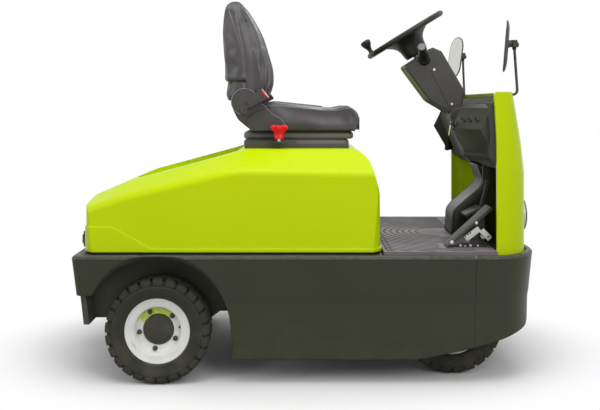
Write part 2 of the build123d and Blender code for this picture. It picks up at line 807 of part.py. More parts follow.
def make_dash():
    """The dash: a panel across the cowl, a bulge at the column and a console box at each side."""
    inner = cowl_form(cowl_wall)
    panel_top = cowl_top - 11
    under_front = cowl_front - cowl_rear
    # distance from the cowl's rear edge, z, radius of each corner
    panel_rows = [
        (14.0, dash_bottom, 0.0), (-14.0, 812.0, 30.0), (-34.0, 915.0, 25.0), (-26.0, 980.0, 25.0),
        (-12.0, 1018.0, 15.0), (66.0, panel_top, 0.0), (under_front, panel_top, 0.0),
        (under_front, dash_bottom, 0.0),
    ]
    bulge_rows = [
        (-24.0, 775.0, 0.0), (-43.0, 801.0, 12.0), (-85.0, 894.0, 60.0), (-108.0, 955.0, 25.0),
        (-100.0, 986.0, 15.0), (-24.0, 1010.0, 0.0),
    ]
    console_rows = [
        (-6.0, 806.0, 8.0), (-1.0, 826.0, 12.0), (-53.0, 916.0, 8.0), (-44.0, 932.0, 10.0),
        (-14.0, 996.0, 10.0), (14.0, 1010.0, 0.0), (14.0, 806.0, 0.0),
    ]
    half = cowl_half_width - cowl_wall
    panel = rounded_side(from_cowl(panel_rows), -half, half)
    behind = block((0, cowl_rear), (-dash_half_width, dash_half_width), (0, cowl_top))
    dash = (panel & inner) + (panel & behind)
    dash += rounded_side(from_cowl(bulge_rows), -bulge_half_width, bulge_half_width)
    points = [(x, -console_y[1], z) for x, z, _ in from_cowl(console_rows)]
    outline = make_face(FilletPolyline(*points, radius=[row[2] for row in console_rows], close=True))
    console = extrude(outline, amount=console_y[1] - console_y[0], dir=(console_flare, 1, 0))
    console = console & block((0, cowl_rear), (-console_y[1], -console_y[0]), (0, cowl_top))
    dash += console + mirrored(console)
    column = column_solid(column_radius + column_clearance, 250, shaft_length + 1)
    keep("dash", dash - column_cover_form() - column)


def make_pedestal():
    front = cowl_front - cowl_wall - cowl_rear
    # distance from the cowl's rear edge, z, radius of each corner
    rows = [
        (-101.0, mat_top, 0.0), (-94.0, 505.0, 20.0), (-92.0, 575.0, 25.0), (-66.0, 603.0, 30.0),
        (33.0, 688.0, 25.0), (3.0, dash_bottom, 0.0), (front, dash_bottom, 0.0), (front, mat_top, 0.0),
    ]
    pedestal = rounded_side(from_cowl(rows), *pedestal_y)
    behind = block((0, cowl_rear), pedestal_y, (0, cowl_top))
    lower = block((cowl_rear, cowl_front - cowl_wall), pedestal_y, (floor_top, mat_top))
    keep("pedestal", (pedestal & (cowl_form(cowl_wall) + behind)) + lower)


def column_plane(distance):
    """The plane across the steering column, at a distance below the wheel."""
    tilt = radians(column_tilt)
    down = Vector(sin(tilt), 0, -cos(tilt))
    return Plane(origin=Vector(*wheel_centre) + down * distance, x_dir=(0, 1, 0), z_dir=down)


def column_solid(radius, start, end):
    """A round bar on the axis of the steering column."""
    bar = Cylinder(radius, end - start, align=(Align.CENTER, Align.CENTER, Align.MIN))
    return column_plane(start) * bar


def column_cover_form():
    # distance from the cover's start along the column, distance across it, radius of each corner
    rows = [
        (0.0, -83.0, 10.0), (-4.0, 60.0, 0.0), (28.0, 83.0, 12.0), (216.0, 78.0, 30.0),
        (276.0, 26.0, 25.0), (262.0, -22.0, 25.0), (174.0, -68.0, 60.0),
    ]
    plane = Plane(origin=wheel_centre, x_dir=column_plane(0).z_dir, z_dir=(0, 1, 0))
    points = [(column_cover_start + along, -across, 0) for along, across, _ in rows]
    face = make_face(FilletPolyline(*points, radius=[row[2] for row in rows], close=True))
    cover = extrude(plane * face, amount=column_cover_width / 2, both=True)
    return fillet(cover.faces().filter_by(Plane.XZ).edges(), 9)


def make_column():
    cover = column_cover_form() - column_solid(column_radius + column_clearance, 0, shaft_length + 80)
    keep("column_cover", cover)
    keep("steering_column", column_solid(column_radius, shaft_top, shaft_length))
    foot = column_plane(column_cover_start + 18) * Pos(-column_cover_width / 4, 12, 0) * Rot(0, -90, 0)
    from_foot = (Align.CENTER, Align.CENTER, Align.MIN)
    stem = foot * Cylinder(lever_radius, lever_length, align=from_foot)
    grip = foot * Pos(0, 0, lever_length) * Cylinder(lever_grip_radius, lever_grip_length, align=from_foot)
    keep("direction_lever", stem + grip - column_cover_form())


# radius of the trumpet-shaped hub, distance below the wheel
hub_outline = [
    (0, 6), (52, 6), (70, 14), (66, 24), (56, 40), (44, 58), (31, 76), (25, hub_length), (0, hub_length),
]
# distance from the wheel's middle, half width of a spoke
spoke_outline = [(40, 26), (110, 17), (steering_wheel_diameter / 2 - wheel_tube_radius, 15)]
# radius of the spinner knob, height over the middle of the wheel's tube
knob_outline = [
    (0, wheel_tube_radius - 2), (11, wheel_tube_radius - 2), (9, 18), (8, 24), (13, 34), (22, 44), (23, 54),
    (15, 62), (0, 64),
]


def make_steering_wheel():
    """Rim, three flat spokes and a deep trumpet-shaped hub over the column, with the spinner knob."""
    plane = column_plane(0)
    ring_radius = steering_wheel_diameter / 2 - wheel_tube_radius
    ring = plane * Torus(ring_radius, wheel_tube_radius)
    trumpet = revolve(Plane.XZ * make_face(Polyline(*hub_outline, close=True)), axis=Axis.Z)
    half = [(distance, -width) for distance, width in spoke_outline]
    outline = make_face(Polyline(*half, *reversed(spoke_outline), close=True))
    spoke = Pos(0, 0, spoke_depth) * extrude(outline, amount=spoke_thickness)
    spoke -= Torus(ring_radius, wheel_tube_radius - 3)
    turns = [90 + step * 360 / spoke_count for step in range(spoke_count)]
    spokes = [plane * Rot(0, 0, turn) * spoke for turn in turns]
    bore = column_solid(column_radius + running_clearance, shaft_top - 2, hub_length + 2)
    keep("steering_wheel", (ring + plane * trumpet + spokes) - bore)
    place = plane * Rot(0, 0, -90) * Pos(ring_radius, 0, 0) * Rot(180, 0, 0)
    knob = revolve(Plane.XZ * make_face(Polyline(*knob_outline, close=True)), axis=Axis.Z)
    keep("spinner_knob", place * knob - ring)


def make_pedals():
    plate = [(-170.0, mat_top + 4), (-164.0, mat_top), (2.0, 622.0), (-8.0, 630.0)]
    pad = side_solid(from_cowl(plate), *pedal_y)
    base_y = (pedal_post_y[0] - 7, pedal_post_y[1] + 30)
    base = block((cowl_rear - 162, cowl_rear - 18), base_y, (mat_top, mat_top + pedal_base_height))
    post = [(-84.0, mat_top), (-24.0, mat_top), (-24.0, 600.0), (-56.0, 572.0)]
    keep("accelerator_pedal", pad + base + side_solid(from_cowl(post), *pedal_post_y))
    seat_y = pedal_post_y[0] - seat_gap
    sensor = [(-107.0, 518.0), (-95.0, 502.0), (-43.0, 540.0), (-55.0, 557.0)]
    plug = [(-47.0, 520.0), (-34.0, 508.0), (-15.0, 523.0), (-27.0, 537.0)]
    sensor_case = side_solid(from_cowl(sensor), seat_y - 26, seat_y)
    keep("accelerator_sensor", sensor_case + side_solid(from_cowl(plug), seat_y - 20, seat_y, 6))
    pad_corners = [(-43.0, 556.0), (-38.0, 548.0), (36.0, 592.0), (28.0, 602.0)]
    arm_corners = [(-12.0, 574.0), (0.0, 574.0), (36.0, 700.0), (24.0, 704.0)]
    brake_pad = side_solid(from_cowl(pad_corners), *brake_pad_y)
    arm = side_solid(from_cowl(arm_corners), *brake_arm_y)
    pivot = cross_rod(*brake_pivot, brake_arm_y[0] - 8, pedestal_y[0], brake_pivot_radius)
    hanger_x = (brake_pivot[0] - 14, brake_pivot[0] + 14)
    hanger_y = (brake_arm_y[1] + 8, brake_arm_y[1] + 16)
    hanger = block(hanger_x, hanger_y, (brake_pivot[1] - brake_pivot_radius, dash_bottom))
    keep("brake_pedal", brake_pad + arm + pivot + hanger)


# Mirrors

# side, how far behind the cowl's front the mirror and its stalk stand, turn inwards in degrees
mirror_rows = [(-1, 80.0, 45.0, 4.0), (1, 123.0, 86.0, 30.0)]


def mirror_shell(width, height, thickness, corner):
    """A flat mirror with round corners, its back bevelled, standing across the machine."""
    outline = Plane.YZ * RectangleRounded(width, height, corner)
    shell = extrude(outline, amount=thickness)
    back_edges = shell.faces().sort_by(Axis.X)[-1].edges()
    return chamfer(back_edges, thickness * 0.6)


def stalk_route(y, stalk_x):
    """Points along a mirror's stalk: out of the cowl's front where that is nearer, or else out of its top."""
    top_front = cowl_front - cowl_levels[-1][1]
    if stalk_x > top_front:
        foot_z = cowl_top - 9
        return [(top_front - 4, y, foot_z), (stalk_x + 12, y, foot_z), (stalk_x, y, stalk_top)]
    return [(stalk_x + 8, y, cowl_top - 14), (stalk_x + 6, y, cowl_top + 18), (stalk_x, y, stalk_top)]


def make_mirrors():
    stalks = []
    housings = []
    glasses = []
    ball_z = stalk_top + ball_height / 2
    pane_size = (mirror_width - 2 * mirror_rim, mirror_height - 2 * mirror_rim)
    pane_face = Plane.YZ * RectangleRounded(*pane_size, mirror_corner - mirror_rim)
    pane = extrude(pane_face, amount=glass_thickness)
    for side, mirror_back, stalk_back, turn in mirror_rows:
        y = side * (cowl_half_width - mirror_inset)
        mirror_x = cowl_front - mirror_back
        stalk_x = cowl_front - stalk_back
        path = FilletPolyline(*stalk_route(y, stalk_x), radius=[mirror_bend])
        piece = sweep(Plane(origin=path @ 0, z_dir=path % 0) * Circle(stalk_radius), path=path)
        piece += rod((stalk_x, y, stalk_top), (stalk_x, y, stalk_top + ball_height), ball_radius)
        piece += rod((mirror_x + 14, y, ball_z), (stalk_x, y, ball_z), stalk_radius)
        clamp_x = mirror_x + 10
        piece += rod((clamp_x, y, ball_z), (clamp_x + clamp_length, y, ball_z), clamp_radius)
        if stalk_x <= cowl_front - cowl_levels[-1][1]:
            pad_y = (y - stalk_pad_half, y + stalk_pad_half)
            piece += block((stalk_x - 2, stalk_x + 18), pad_y, (cowl_top - 22, cowl_top - 11))
        piece -= node_shapes["front_cowl"]
        piece -= node_shapes["dash"]
        place = Pos(mirror_x, y, mirror_centre_z) * Rot(0, 5, -side * turn)
        shell = place * mirror_shell(mirror_width, mirror_height, mirror_depth, mirror_corner)
        stalks.append(piece - shell)
        housings.append(shell)
        glasses.append(place * Pos(-glass_thickness, 0, 0) * pane)
    keep("mirror_stalks", *stalks)
    keep("mirror_housings", *housings)
    keep("mirror_glasses", *glasses)


# Seat

def make_seat_base():
    # height above the deck, how far out the fold is
    fold_rows = [
        (0.0, 0.0), (6.0, 9.0), (17.0, 12.0), (28.0, 9.0), (36.0, 0.0), (43.0, 9.0), (52.0, 12.0),
        (59.0, 9.0), (bellows_height, 0.0),
    ]
    folds = []
    for height, out in fold_rows:
        inset = fold_depth - out
        span = (bellows_x[0] + inset, bellows_x[1] - inset)
        half = bellows_half_width - inset
        folds.append(plan_face(span, half, seat_deck + height, fold_radius, fold_radius))
    keep("seat_bellows", loft(folds, ruled=True))
    keep("seat_pan", block(pan_x, (-pan_half_width, pan_half_width), (pan_bottom, cushion_bottom)))
    inner = bellows_half_width + 1
    outer = seat_half_width - 4
    plate_top = seat_deck + rail_plate_height
    plate = block((-205.0, -5.0), (inner, outer), (seat_deck, plate_top))
    runner = block((-205.0, 200.0), (inner, outer - 14), (seat_deck, seat_deck + rail_runner_height))
    shelf = block((-84.0, -56.0), (outer - 6, outer + 56), (plate_top - shelf_height, plate_top))
    rail = plate + runner
    keep("seat_rails", rail, mirrored(rail + shelf))


def make_pads():
    cushion_height = cushion_bottom - seat_deck
    # x, height above the deck, radius of each corner
    cushion = [
        (-186.0, cushion_height, 10.0), (-186.0, 166.0, 15.0), (-92.0, 179.0, 60.0),
        (134.0, 156.0, 60.0), (184.0, 167.0, 30.0), (245.0, 164.0, 46.0), (243.0, cushion_height, 14.0),
    ]
    back = [
        (-277.0, 184.0, 15.0), (-297.0, 455.0, 200.0), (-291.0, 580.0, 45.0), (-226.0, 580.0, 32.0),
        (-150.0, 458.0, 200.0), (-106.0, 320.0, 200.0), (-106.0, 222.0, 30.0), (-150.0, 184.0, 10.0),
    ]
    keep("seat_cushion", rounded_side(above_deck(cushion), -pad_half_width, pad_half_width))
    # y, height above the deck, radius of each corner, up the right-hand side
    edge = [(-pad_half_width, 170.0, 0.0), (-pad_half_width, 400.0, 250.0), (-185.0, 584.0, 70.0)]
    edge += [(-y, height, radius) for y, height, radius in reversed(edge)]
    behind = bellows_x[0] - 200
    points = [(behind, y, z) for y, z, _ in above_deck(edge)]
    front_view = make_face(FilletPolyline(*points, radius=[row[2] for row in edge], close=True))
    form = rounded_side(above_deck(back), -pad_half_width, pad_half_width)
    keep("seat_backrest", form & extrude(front_view, amount=400, dir=(1, 0, 0)))


def make_recliner_covers():
    """The covers over the recliner, with its disc, and the strut that carries them on the pan."""
    strut_height = 68.0
    # x, height above the deck, radius of each corner
    rows = above_deck([
        (-252.0, 180.0, 20.0), (-247.0, 147.0, 30.0), (-229.0, 111.0, 30.0), (-198.0, 85.0, 30.0),
        (-176.0, strut_height, 15.0), (-39.0, strut_height, 8.0), (-46.0, 94.0, 15.0), (-66.0, 116.0, 30.0),
        (-92.0, 131.0, 40.0), (-121.0, 160.0, 30.0), (-150.0, 180.0, 20.0),
    ])
    covers = []
    for side in (-1, 1):
        inner = side * (pad_half_width + seat_gap)
        outer = side * (pad_half_width + cover_thickness)
        raised = outer + side * cover_step
        disc = cross_rod(recliner_x, recliner_z, *sorted((inner, raised)), recliner_radius)
        bolt = cross_rod(recliner_x - 2, recliner_z - 32, *sorted((inner, raised + side * 4)), 13)
        plate = rounded_side(rows, *sorted((inner, outer)))
        strut_y = sorted((side * pan_half_width, inner))
        strut = block((-176.0, -60.0), strut_y, (seat_deck + strut_height, cushion_bottom))
        covers.append(disc + plate + bolt + strut)
    keep("recliner_covers", *covers)


def make_seat_controls():
    cover_face = pad_half_width + cover_thickness
    knob_y = -cover_face - seat_gap - 22
    plate_top = rail_plate_height
    wings = [(-109.0, 72.0), (-31.0, 72.0), (-31.0, 90.0), (-109.0, 90.0)]
    stem = [(-90.0, plate_top + 12), (-50.0, plate_top + 12), (-54.0, 80.0), (-86.0, 80.0)]
    knob = side_solid(above_deck(wings), knob_y - 12, knob_y + 12, 7)
    knob += side_solid(above_deck(stem), knob_y - 8, knob_y + 8, 5)
    shaft_z = (seat_deck + plate_top, seat_deck + plate_top + 14)
    knob += rod((-70.0, knob_y, shaft_z[0]), (-70.0, knob_y, shaft_z[1]), 5)
    keep("weight_knob", knob)
    case = above_deck([(-134.0, 231.0), (-106.0, 196.0), (-183.0, 155.0), (-193.0, 182.0)])
    strap = above_deck([(-184.0, 174.0), (-178.0, 160.0), (-206.0, 143.0), (-212.0, 157.0)])
    buckles = []
    for side in (-1, 1):
        inner = cover_face + cover_step + seat_gap
        case_y = sorted((side * inner, side * (inner + buckle_width)))
        buckles.append(side_solid(case, *case_y, 6) + side_solid(strap, case_y[0] + 5, case_y[1] - 5))
    keep("belt_buckles", *buckles)
    lever_y = (-60.0, 60.0)
    flat = block((pan_x[1], 251.0), lever_y, (cushion_bottom - 5, cushion_bottom))
    upright = block((248.0, 254.0), lever_y, (cushion_bottom - 5, cushion_bottom + 46))
    keep("slide_lever", flat + upright)


# Tow coupling

def make_coupling():
    low = jaw_centre_z - jaw_gap / 2
    high = jaw_centre_z + jaw_gap / 2
    back_z = (low - jaw_plate - 10, high + jaw_plate + 11)
    back_face = rear_plate_x(back_z[1]) - jaw_back_thickness
    in_plate = rear_plate_x(rear_plate_bottom) + 2
    nose_x = coupling_rear + jaw_half_width
    jaw = block((back_face, in_plate), (-jaw_back_half_width, jaw_back_half_width), back_z)
    for z in (low - jaw_plate, high):
        jaw += block((nose_x, in_plate), (-jaw_half_width, jaw_half_width), (z, z + jaw_plate))
        jaw += rod((nose_x, 0, z), (nose_x, 0, z + jaw_plate), jaw_half_width)
    jaw -= rod((tow_pin_x, 0, 0), (tow_pin_x, 0, back_z[1]), tow_pin_radius + running_clearance)
    keep("tow_coupling", jaw - node_shapes["rear_plate"])
    top = high + jaw_plate
    grip_z = top + tow_grip_height
    pin = rod((tow_pin_x, 0, low - jaw_plate - 6), (tow_pin_x, 0, grip_z), tow_pin_radius)
    collar = rod((tow_pin_x, 0, top + pivot_gap), (tow_pin_x, 0, top + 10), tow_collar_radius)
    grip = cross_rod(tow_pin_x, grip_z, -tow_grip_half_length, tow_grip_half_length, tow_grip_radius)
    keep("tow_pin", pin + collar + grip)


make_lower_body()
make_decks()
make_frame()
make_drive()
make_wheels()
make_front_axle()
make_steering_linkage()
make_hood()
make_hinges()
make_tail_lamps()
make_cowl()
make_dash()
make_pedestal()
make_column()
make_steering_wheel()
make_pedals()
make_mirrors()
make_seat_base()
make_pads()
make_recliner_covers()
make_seat_controls()
make_coupling()

os.makedirs("parts", exist_ok=True)
for node, shape in node_shapes.items():
    export_step(shape, "parts/" + node + ".step")
print(len(node_shapes), "nodes written")
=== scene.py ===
# %% [markdown]
# # An airport baggage tug
# This lesson dresses a small electric tow tractor: a dark steel body with heavy side skirts, a lime green
# hood that carries the seat, and a lime green cowl with the steering column. The construction model gives
# every rigid piece at its real place. Here each surface gets its finish, and the soft and fine pieces
# get a shape of their own.

# %% The construction model
from math import atan2, cos, degrees, exp, hypot, pi, radians, sin, tau

import bmesh
import bpy
from mathutils import Matrix, Vector
from mathutils.bvhtree import BVHTree
from mathutils.kdtree import KDTree


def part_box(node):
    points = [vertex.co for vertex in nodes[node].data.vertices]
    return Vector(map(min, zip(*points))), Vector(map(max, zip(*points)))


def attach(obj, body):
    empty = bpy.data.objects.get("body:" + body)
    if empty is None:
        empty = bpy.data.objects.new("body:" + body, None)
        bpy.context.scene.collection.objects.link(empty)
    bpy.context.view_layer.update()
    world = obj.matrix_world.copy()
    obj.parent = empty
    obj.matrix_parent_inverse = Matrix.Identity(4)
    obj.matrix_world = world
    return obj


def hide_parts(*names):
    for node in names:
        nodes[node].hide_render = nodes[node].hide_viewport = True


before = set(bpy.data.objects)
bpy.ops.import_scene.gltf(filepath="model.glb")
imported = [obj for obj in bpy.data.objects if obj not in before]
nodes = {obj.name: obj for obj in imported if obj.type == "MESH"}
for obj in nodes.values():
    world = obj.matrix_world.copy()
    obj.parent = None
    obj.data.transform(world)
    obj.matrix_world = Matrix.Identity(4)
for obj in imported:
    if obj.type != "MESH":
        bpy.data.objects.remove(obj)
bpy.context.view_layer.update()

# %% [markdown]
# The camera stands low beside the machine, about 3.3 m from its middle, and looks level across it.
# A level camera keeps upright edges upright. The picture is framed by shifting the lens down, as a
# photographer does with a shift lens, so nothing leans.

# %% The camera
camera_place = (0.010, -3.261, 1.007)
focal_pixels = 781.0
picture_width = 600.0
lens_shift_pixels = -100.0
sensor = 36.0

camera_data = bpy.data.cameras.new("camera")
camera_data.sensor_width = sensor
camera_data.lens = focal_pixels / picture_width * sensor
camera_data.shift_y = lens_shift_pixels / picture_width
camera = bpy.data.objects.new("camera", camera_data)
camera.location = camera_place
camera.rotation_euler = (pi / 2, 0, 0)
bpy.context.scene.collection.objects.link(camera)
bpy.context.scene.camera = camera
bpy.context.scene.view_settings.view_transform = "Standard"
print("lens:", round(camera_data.lens, 1), "mm")

# %% [markdown]
# The light is a plain studio: a pale sky all round and large soft lamps. Large lamps give the paint
# long, soft reflections and the floor a soft shadow. The world is plain white where the camera, a glossy
# surface or glass looks at it, and weaker where it lights the surfaces.

# %% The studio light
lamp_rows = [
    # name, place, aims at, size, power in watts
    ("lamp_top", (0.2, -0.9, 3.6), (0.0, 0.0, 0.6), 2.6, 62.0),
    ("lamp_front", (1.9, -3.4, 2.6), (0.1, 0.0, 0.7), 2.0, 46.0),
    ("lamp_rear", (-3.0, -2.4, 2.4), (-0.2, 0.0, 0.7), 1.8, 26.0),
    ("lamp_far", (0.5, 3.4, 2.6), (0.0, 0.0, 0.8), 2.2, 26.0),
]
sky_strength = 0.5


def add_lamp(name, place, aim, size, power):
    lamp_data = bpy.data.lights.new(name, "AREA")
    lamp_data.size = size
    lamp_data.energy = power
    lamp = bpy.data.objects.new(name, lamp_data)
    lamp.location = place
    lamp.rotation_euler = (Vector(aim) - Vector(place)).to_track_quat("-Z", "Y").to_euler()
    bpy.context.scene.collection.objects.link(lamp)


for row in lamp_rows:
    add_lamp(*row)


def add_node(tree, kind, **settings):
    node = tree.nodes.new("ShaderNode" + kind)
    for name, value in settings.items():
        setattr(node, name, value)
    return node


def wire(tree, value, socket):
    """Puts the result of another node, or a plain value, into a socket."""
    if isinstance(value, bpy.types.NodeSocket):
        tree.links.new(value, socket)
    else:
        socket.default_value = value


def chain_math(tree, operation, first, second):
    """A Math node on two results or numbers, and its own result."""
    node = add_node(tree, "Math", operation=operation)
    wire(tree, first, node.inputs[0])
    wire(tree, second, node.inputs[1])
    return node.outputs[0]


def seen_directly(tree):
    """1 where the camera, a glossy surface or glass looks at a surface, and 0 for scattered light."""
    path = add_node(tree, "LightPath")
    mirrored = chain_math(tree, "MAXIMUM", path.outputs["Is Glossy Ray"], path.outputs["Is Transmission Ray"])
    return chain_math(tree, "MAXIMUM", path.outputs["Is Camera Ray"], mirrored)


world = bpy.data.worlds.new("studio")
bpy.context.scene.world = world
world.use_nodes = True
world_tree = world.node_tree
background = world_tree.nodes["Background"]
background.inputs["Color"].default_value = (1, 1, 1, 1)
world_light = chain_math(world_tree, "MAXIMUM", seen_directly(world_tree), sky_strength)
wire(world_tree, world_light, background.inputs["Strength"])
print("lamps:", len(lamp_rows), "sky:", sky_strength)

# %% [markdown]
# The floor is one wide sheet. It is only the stage, and no part of the machine. Its finish follows further
# down, when the shared effects are there.

# %% The floor
floor_half = 14.0


def link_object(name, mesh):
    piece = bpy.data.objects.new(name, mesh)
    bpy.context.scene.collection.objects.link(piece)
    return piece


def mesh_from(bm, name):
    mesh = bpy.data.meshes.new(name)
    bm.to_mesh(mesh)
    bm.free()
    return mesh


bm = bmesh.new()
bmesh.ops.create_grid(bm, x_segments=1, y_segments=1, size=floor_half)
floor = link_object("floor", mesh_from(bm, "floor"))
print("floor:", 2 * floor_half, "m square")

# %% [markdown]
# Colours are read off as plain screen values from 0 to 255. The shader wants linear light, so one helper
# changes them. A second helper starts a material with its Principled shader and hands back the shader,
# so that each finish below only says what is special about it. The specular level is set low on the dark
# finishes: in a white studio an ordinary gloss would lay a grey veil over black plastic.

# %% Colour and material helpers


def screen(red, green, blue):
    """A screen colour, 0 to 255, as the linear colour that a shader reads."""
    linear = []
    for value in (red / 255, green / 255, blue / 255):
        linear.append(value / 12.92 if value <= 0.04045 else ((value + 0.055) / 1.055) ** 2.4)
    return (*linear, 1.0)


def start_material(name, colour, roughness, metallic=0.0, coat=0.0, specular=0.3):
    material = bpy.data.materials.new(name)
    material.use_nodes = True
    shader = material.node_tree.nodes["Principled BSDF"]
    shader.inputs["Base Color"].default_value = colour
    shader.inputs["Roughness"].default_value = roughness
    shader.inputs["Metallic"].default_value = metallic
    shader.inputs["Specular IOR Level"].default_value = specular
    shader.inputs["Coat Weight"].default_value = coat
    shader.inputs["Coat Roughness"].default_value = 0.06
    shader.inputs["Coat IOR"].default_value = 1.4
    return material, shader


print("white in linear light:", [round(v, 2) for v in screen(255, 255, 255)])

# %% [markdown]
# Six effects come back in many finishes, so each is a node group with its own sockets: a soft change of
# tone over the surface, a fine grain that feeds a bump, dust that gathers near the ground, a pale edge that
# is partly wear and partly a painted highlight, small scuffs, and the lime light that the hood throws on what
# stands before it, painted into the colour. A group gives out only colours, masks, values and normals. The
# shader itself stays in each material.

# %% Helpers for shared effects
white = (1, 1, 1, 1)
output_kinds = {"Colour": "Color", "Mask": "Float", "Height": "Float", "Normal": "Vector"}


def start_group(name, inputs, outputs):
    """A node group. The kind of an input follows from its value, that of an output from its name."""
    group = bpy.data.node_groups.new(name, "ShaderNodeTree")
    for label, value in inputs.items():
        kind = "Color" if isinstance(value, tuple) else "Float"
        socket = group.interface.new_socket(label, in_out="INPUT", socket_type="NodeSocket" + kind)
        socket.default_value = value
    for label in outputs:
        group.interface.new_socket(label, in_out="OUTPUT", socket_type="NodeSocket" + output_kinds[label])
    given, result = group.nodes.new("NodeGroupInput"), group.nodes.new("NodeGroupOutput")
    return group, given.outputs, result.inputs


def own_place(tree):
    """The place on the piece's own coordinates."""
    return add_node(tree, "TexCoord").outputs["Object"]


def true_normal(tree):
    return add_node(tree, "NewGeometry").outputs["Normal"]


def part_of(tree, vector, axis):
    """One number of a vector."""
    parts = add_node(tree, "SeparateXYZ")
    wire(tree, vector, parts.inputs["Vector"])
    return parts.outputs[axis]


def noise_of(tree, scale, detail=2.0, place=None):
    """A noise on the piece's own coordinates, if no others are given."""
    noise = add_node(tree, "TexNoise")
    noise.inputs["Detail"].default_value = detail
    wire(tree, own_place(tree) if place is None else place, noise.inputs["Vector"])
    wire(tree, scale, noise.inputs["Scale"])
    return noise.outputs["Fac"]


def fade(tree, value, low, high, to_low=0.0, to_high=1.0):
    """Turns a value into another range, with soft ends."""
    spread = add_node(tree, "MapRange", interpolation_type="SMOOTHERSTEP")
    for label, number in (("From Min", low), ("From Max", high), ("To Min", to_low), ("To Max", to_high)):
        spread.inputs[label].default_value = number
    wire(tree, value, spread.inputs["Value"])
    return spread.outputs["Result"]


def blend_colours(tree, share, first, second):
    blend = add_node(tree, "Mix", data_type="RGBA")
    for value, socket in ((share, "Factor"), (first, 6), (second, 7)):
        wire(tree, value, blend.inputs[socket])
    return blend.outputs[2]


print("kinds of result:", sorted(output_kinds))

# %% [markdown]
# Paint and plastic never have quite one tone, so soft clouds blend a colour towards a second one. The grain
# is what a textured mould leaves on plastic: small round cells, given out as a height.

# %% Clouds and grain


def make_tone_group():
    """Blends a colour towards a second one in soft clouds."""
    inputs = {"Colour": white, "Second": (0, 0, 0, 1), "Scale": 4.0, "Amount": 0.2}
    group, given, result = start_group("soft tone", inputs, ["Colour", "Mask"])
    mask = fade(group, noise_of(group, given["Scale"], 3.0), 0.2, 0.8)
    share = chain_math(group, "MULTIPLY", mask, given["Amount"])
    wire(group, blend_colours(group, share, given["Colour"], given["Second"]), result["Colour"])
    wire(group, mask, result["Mask"])
    return group


def make_grain_group():
    """A fine moulded grain as a height: small round cells with a little noise."""
    group, given, result = start_group("fine grain", {"Scale": 900.0, "Noise share": 0.4}, ["Height"])
    cells = add_node(group, "TexVoronoi")
    wire(group, own_place(group), cells.inputs["Vector"])
    wire(group, given["Scale"], cells.inputs["Scale"])
    blend = add_node(group, "Mix", data_type="FLOAT")
    wire(group, given["Noise share"], blend.inputs["Factor"])
    wire(group, cells.outputs["Distance"], blend.inputs["A"])
    wire(group, noise_of(group, given["Scale"]), blend.inputs["B"])
    wire(group, blend.outputs["Result"], result["Height"])
    return group


tone_group = make_tone_group()
grain_group = make_grain_group()
print("clouds and grain:", tone_group.name, "and", grain_group.name)

# %% [markdown]
# Dust lies thickest near the ground. A pale edge is found by comparing a normal that is rounded over a small
# distance with the true one: where they differ an edge is near. The pale colour there is partly a rubbed coat
# and partly a painted highlight that the edge catches. Noise breaks both up, since neither is ever even.

# %% Dust, and edges that are pale from wear or a painted highlight


def make_dust_group():
    """Road dust: most near the floor, broken up by noise."""
    inputs = {"Colour": white, "Dust": screen(128, 120, 106), "Reach": 0.4, "Amount": 0.3}
    group, given, result = start_group("low dust", inputs, ["Colour", "Mask"])
    low = chain_math(group, "DIVIDE", part_of(group, own_place(group), "Z"), given["Reach"])
    near = fade(group, low, 0.0, 1.0, 1.0, 0.0)
    broken = chain_math(group, "MULTIPLY", near, fade(group, noise_of(group, 16.0, 6.0), 0.3, 0.75))
    share = chain_math(group, "MULTIPLY", broken, given["Amount"])
    wire(group, blend_colours(group, share, given["Colour"], given["Dust"]), result["Colour"])
    wire(group, share, result["Mask"])
    return group


def make_worn_or_lit_edge_group():
    """Finds outer edges by comparing a rounded normal with the true one, and breaks them up by noise. The pale
    edge is partly wear and partly a painted highlight. Upward keeps it only on the faces that look up, as a
    painted highlight from the light above."""
    inputs = {"Colour": white, "Worn": screen(150, 150, 146), "Width": 0.003, "Amount": 0.4, "Upward": 0.0}
    group, given, result = start_group("worn or lit edge", inputs, ["Colour", "Mask", "Normal"])
    rounded = add_node(group, "Bevel", samples=4)
    wire(group, given["Width"], rounded.inputs["Radius"])
    likeness = add_node(group, "VectorMath", operation="DOT_PRODUCT")
    wire(group, rounded.outputs["Normal"], likeness.inputs[0])
    wire(group, true_normal(group), likeness.inputs[1])
    edge = fade(group, likeness.outputs["Value"], 0.8, 0.99, 1.0, 0.0)
    broken = chain_math(group, "MULTIPLY", edge, fade(group, noise_of(group, 45.0, 5.0), 0.3, 0.55, 0.45, 1.0))
    # As Upward grows, faces that don't look up lose the pale edge; what is left is a painted highlight from above.
    level = fade(group, part_of(group, rounded.outputs["Normal"], "Z"), 0.1, 0.35, 1.0, 0.0)
    upper = chain_math(group, "SUBTRACT", 1.0, chain_math(group, "MULTIPLY", level, given["Upward"]))
    share = chain_math(group, "MULTIPLY", chain_math(group, "MULTIPLY", broken, upper), given["Amount"])
    wire(group, blend_colours(group, share, given["Colour"], given["Worn"]), result["Colour"])
    wire(group, share, result["Mask"])
    wire(group, rounded.outputs["Normal"], result["Normal"])
    return group


dust_group = make_dust_group()
worn_or_lit_edge_group = make_worn_or_lit_edge_group()
print("dust and edges:", dust_group.name, "and", worn_or_lit_edge_group.name)

# %% [markdown]
# Scuffs only change the roughness, so they are given out as a mask. The light that the lime hood throws on
# the column's cover is laid over the colour of the faces that look to the rear.

# %% Scuffs and the light from the hood


def make_glow_group():
    """Tints faces that look to the rear, where the lime hood throws its light."""
    group, given, result = start_group("light from the hood", {"Colour": white, "Glow": white}, ["Colour"])
    share = fade(group, part_of(group, true_normal(group), "X"), -0.9, -0.6, 0.85, 0.0)
    wire(group, blend_colours(group, share, given["Colour"], given["Glow"]), result["Colour"])
    return group


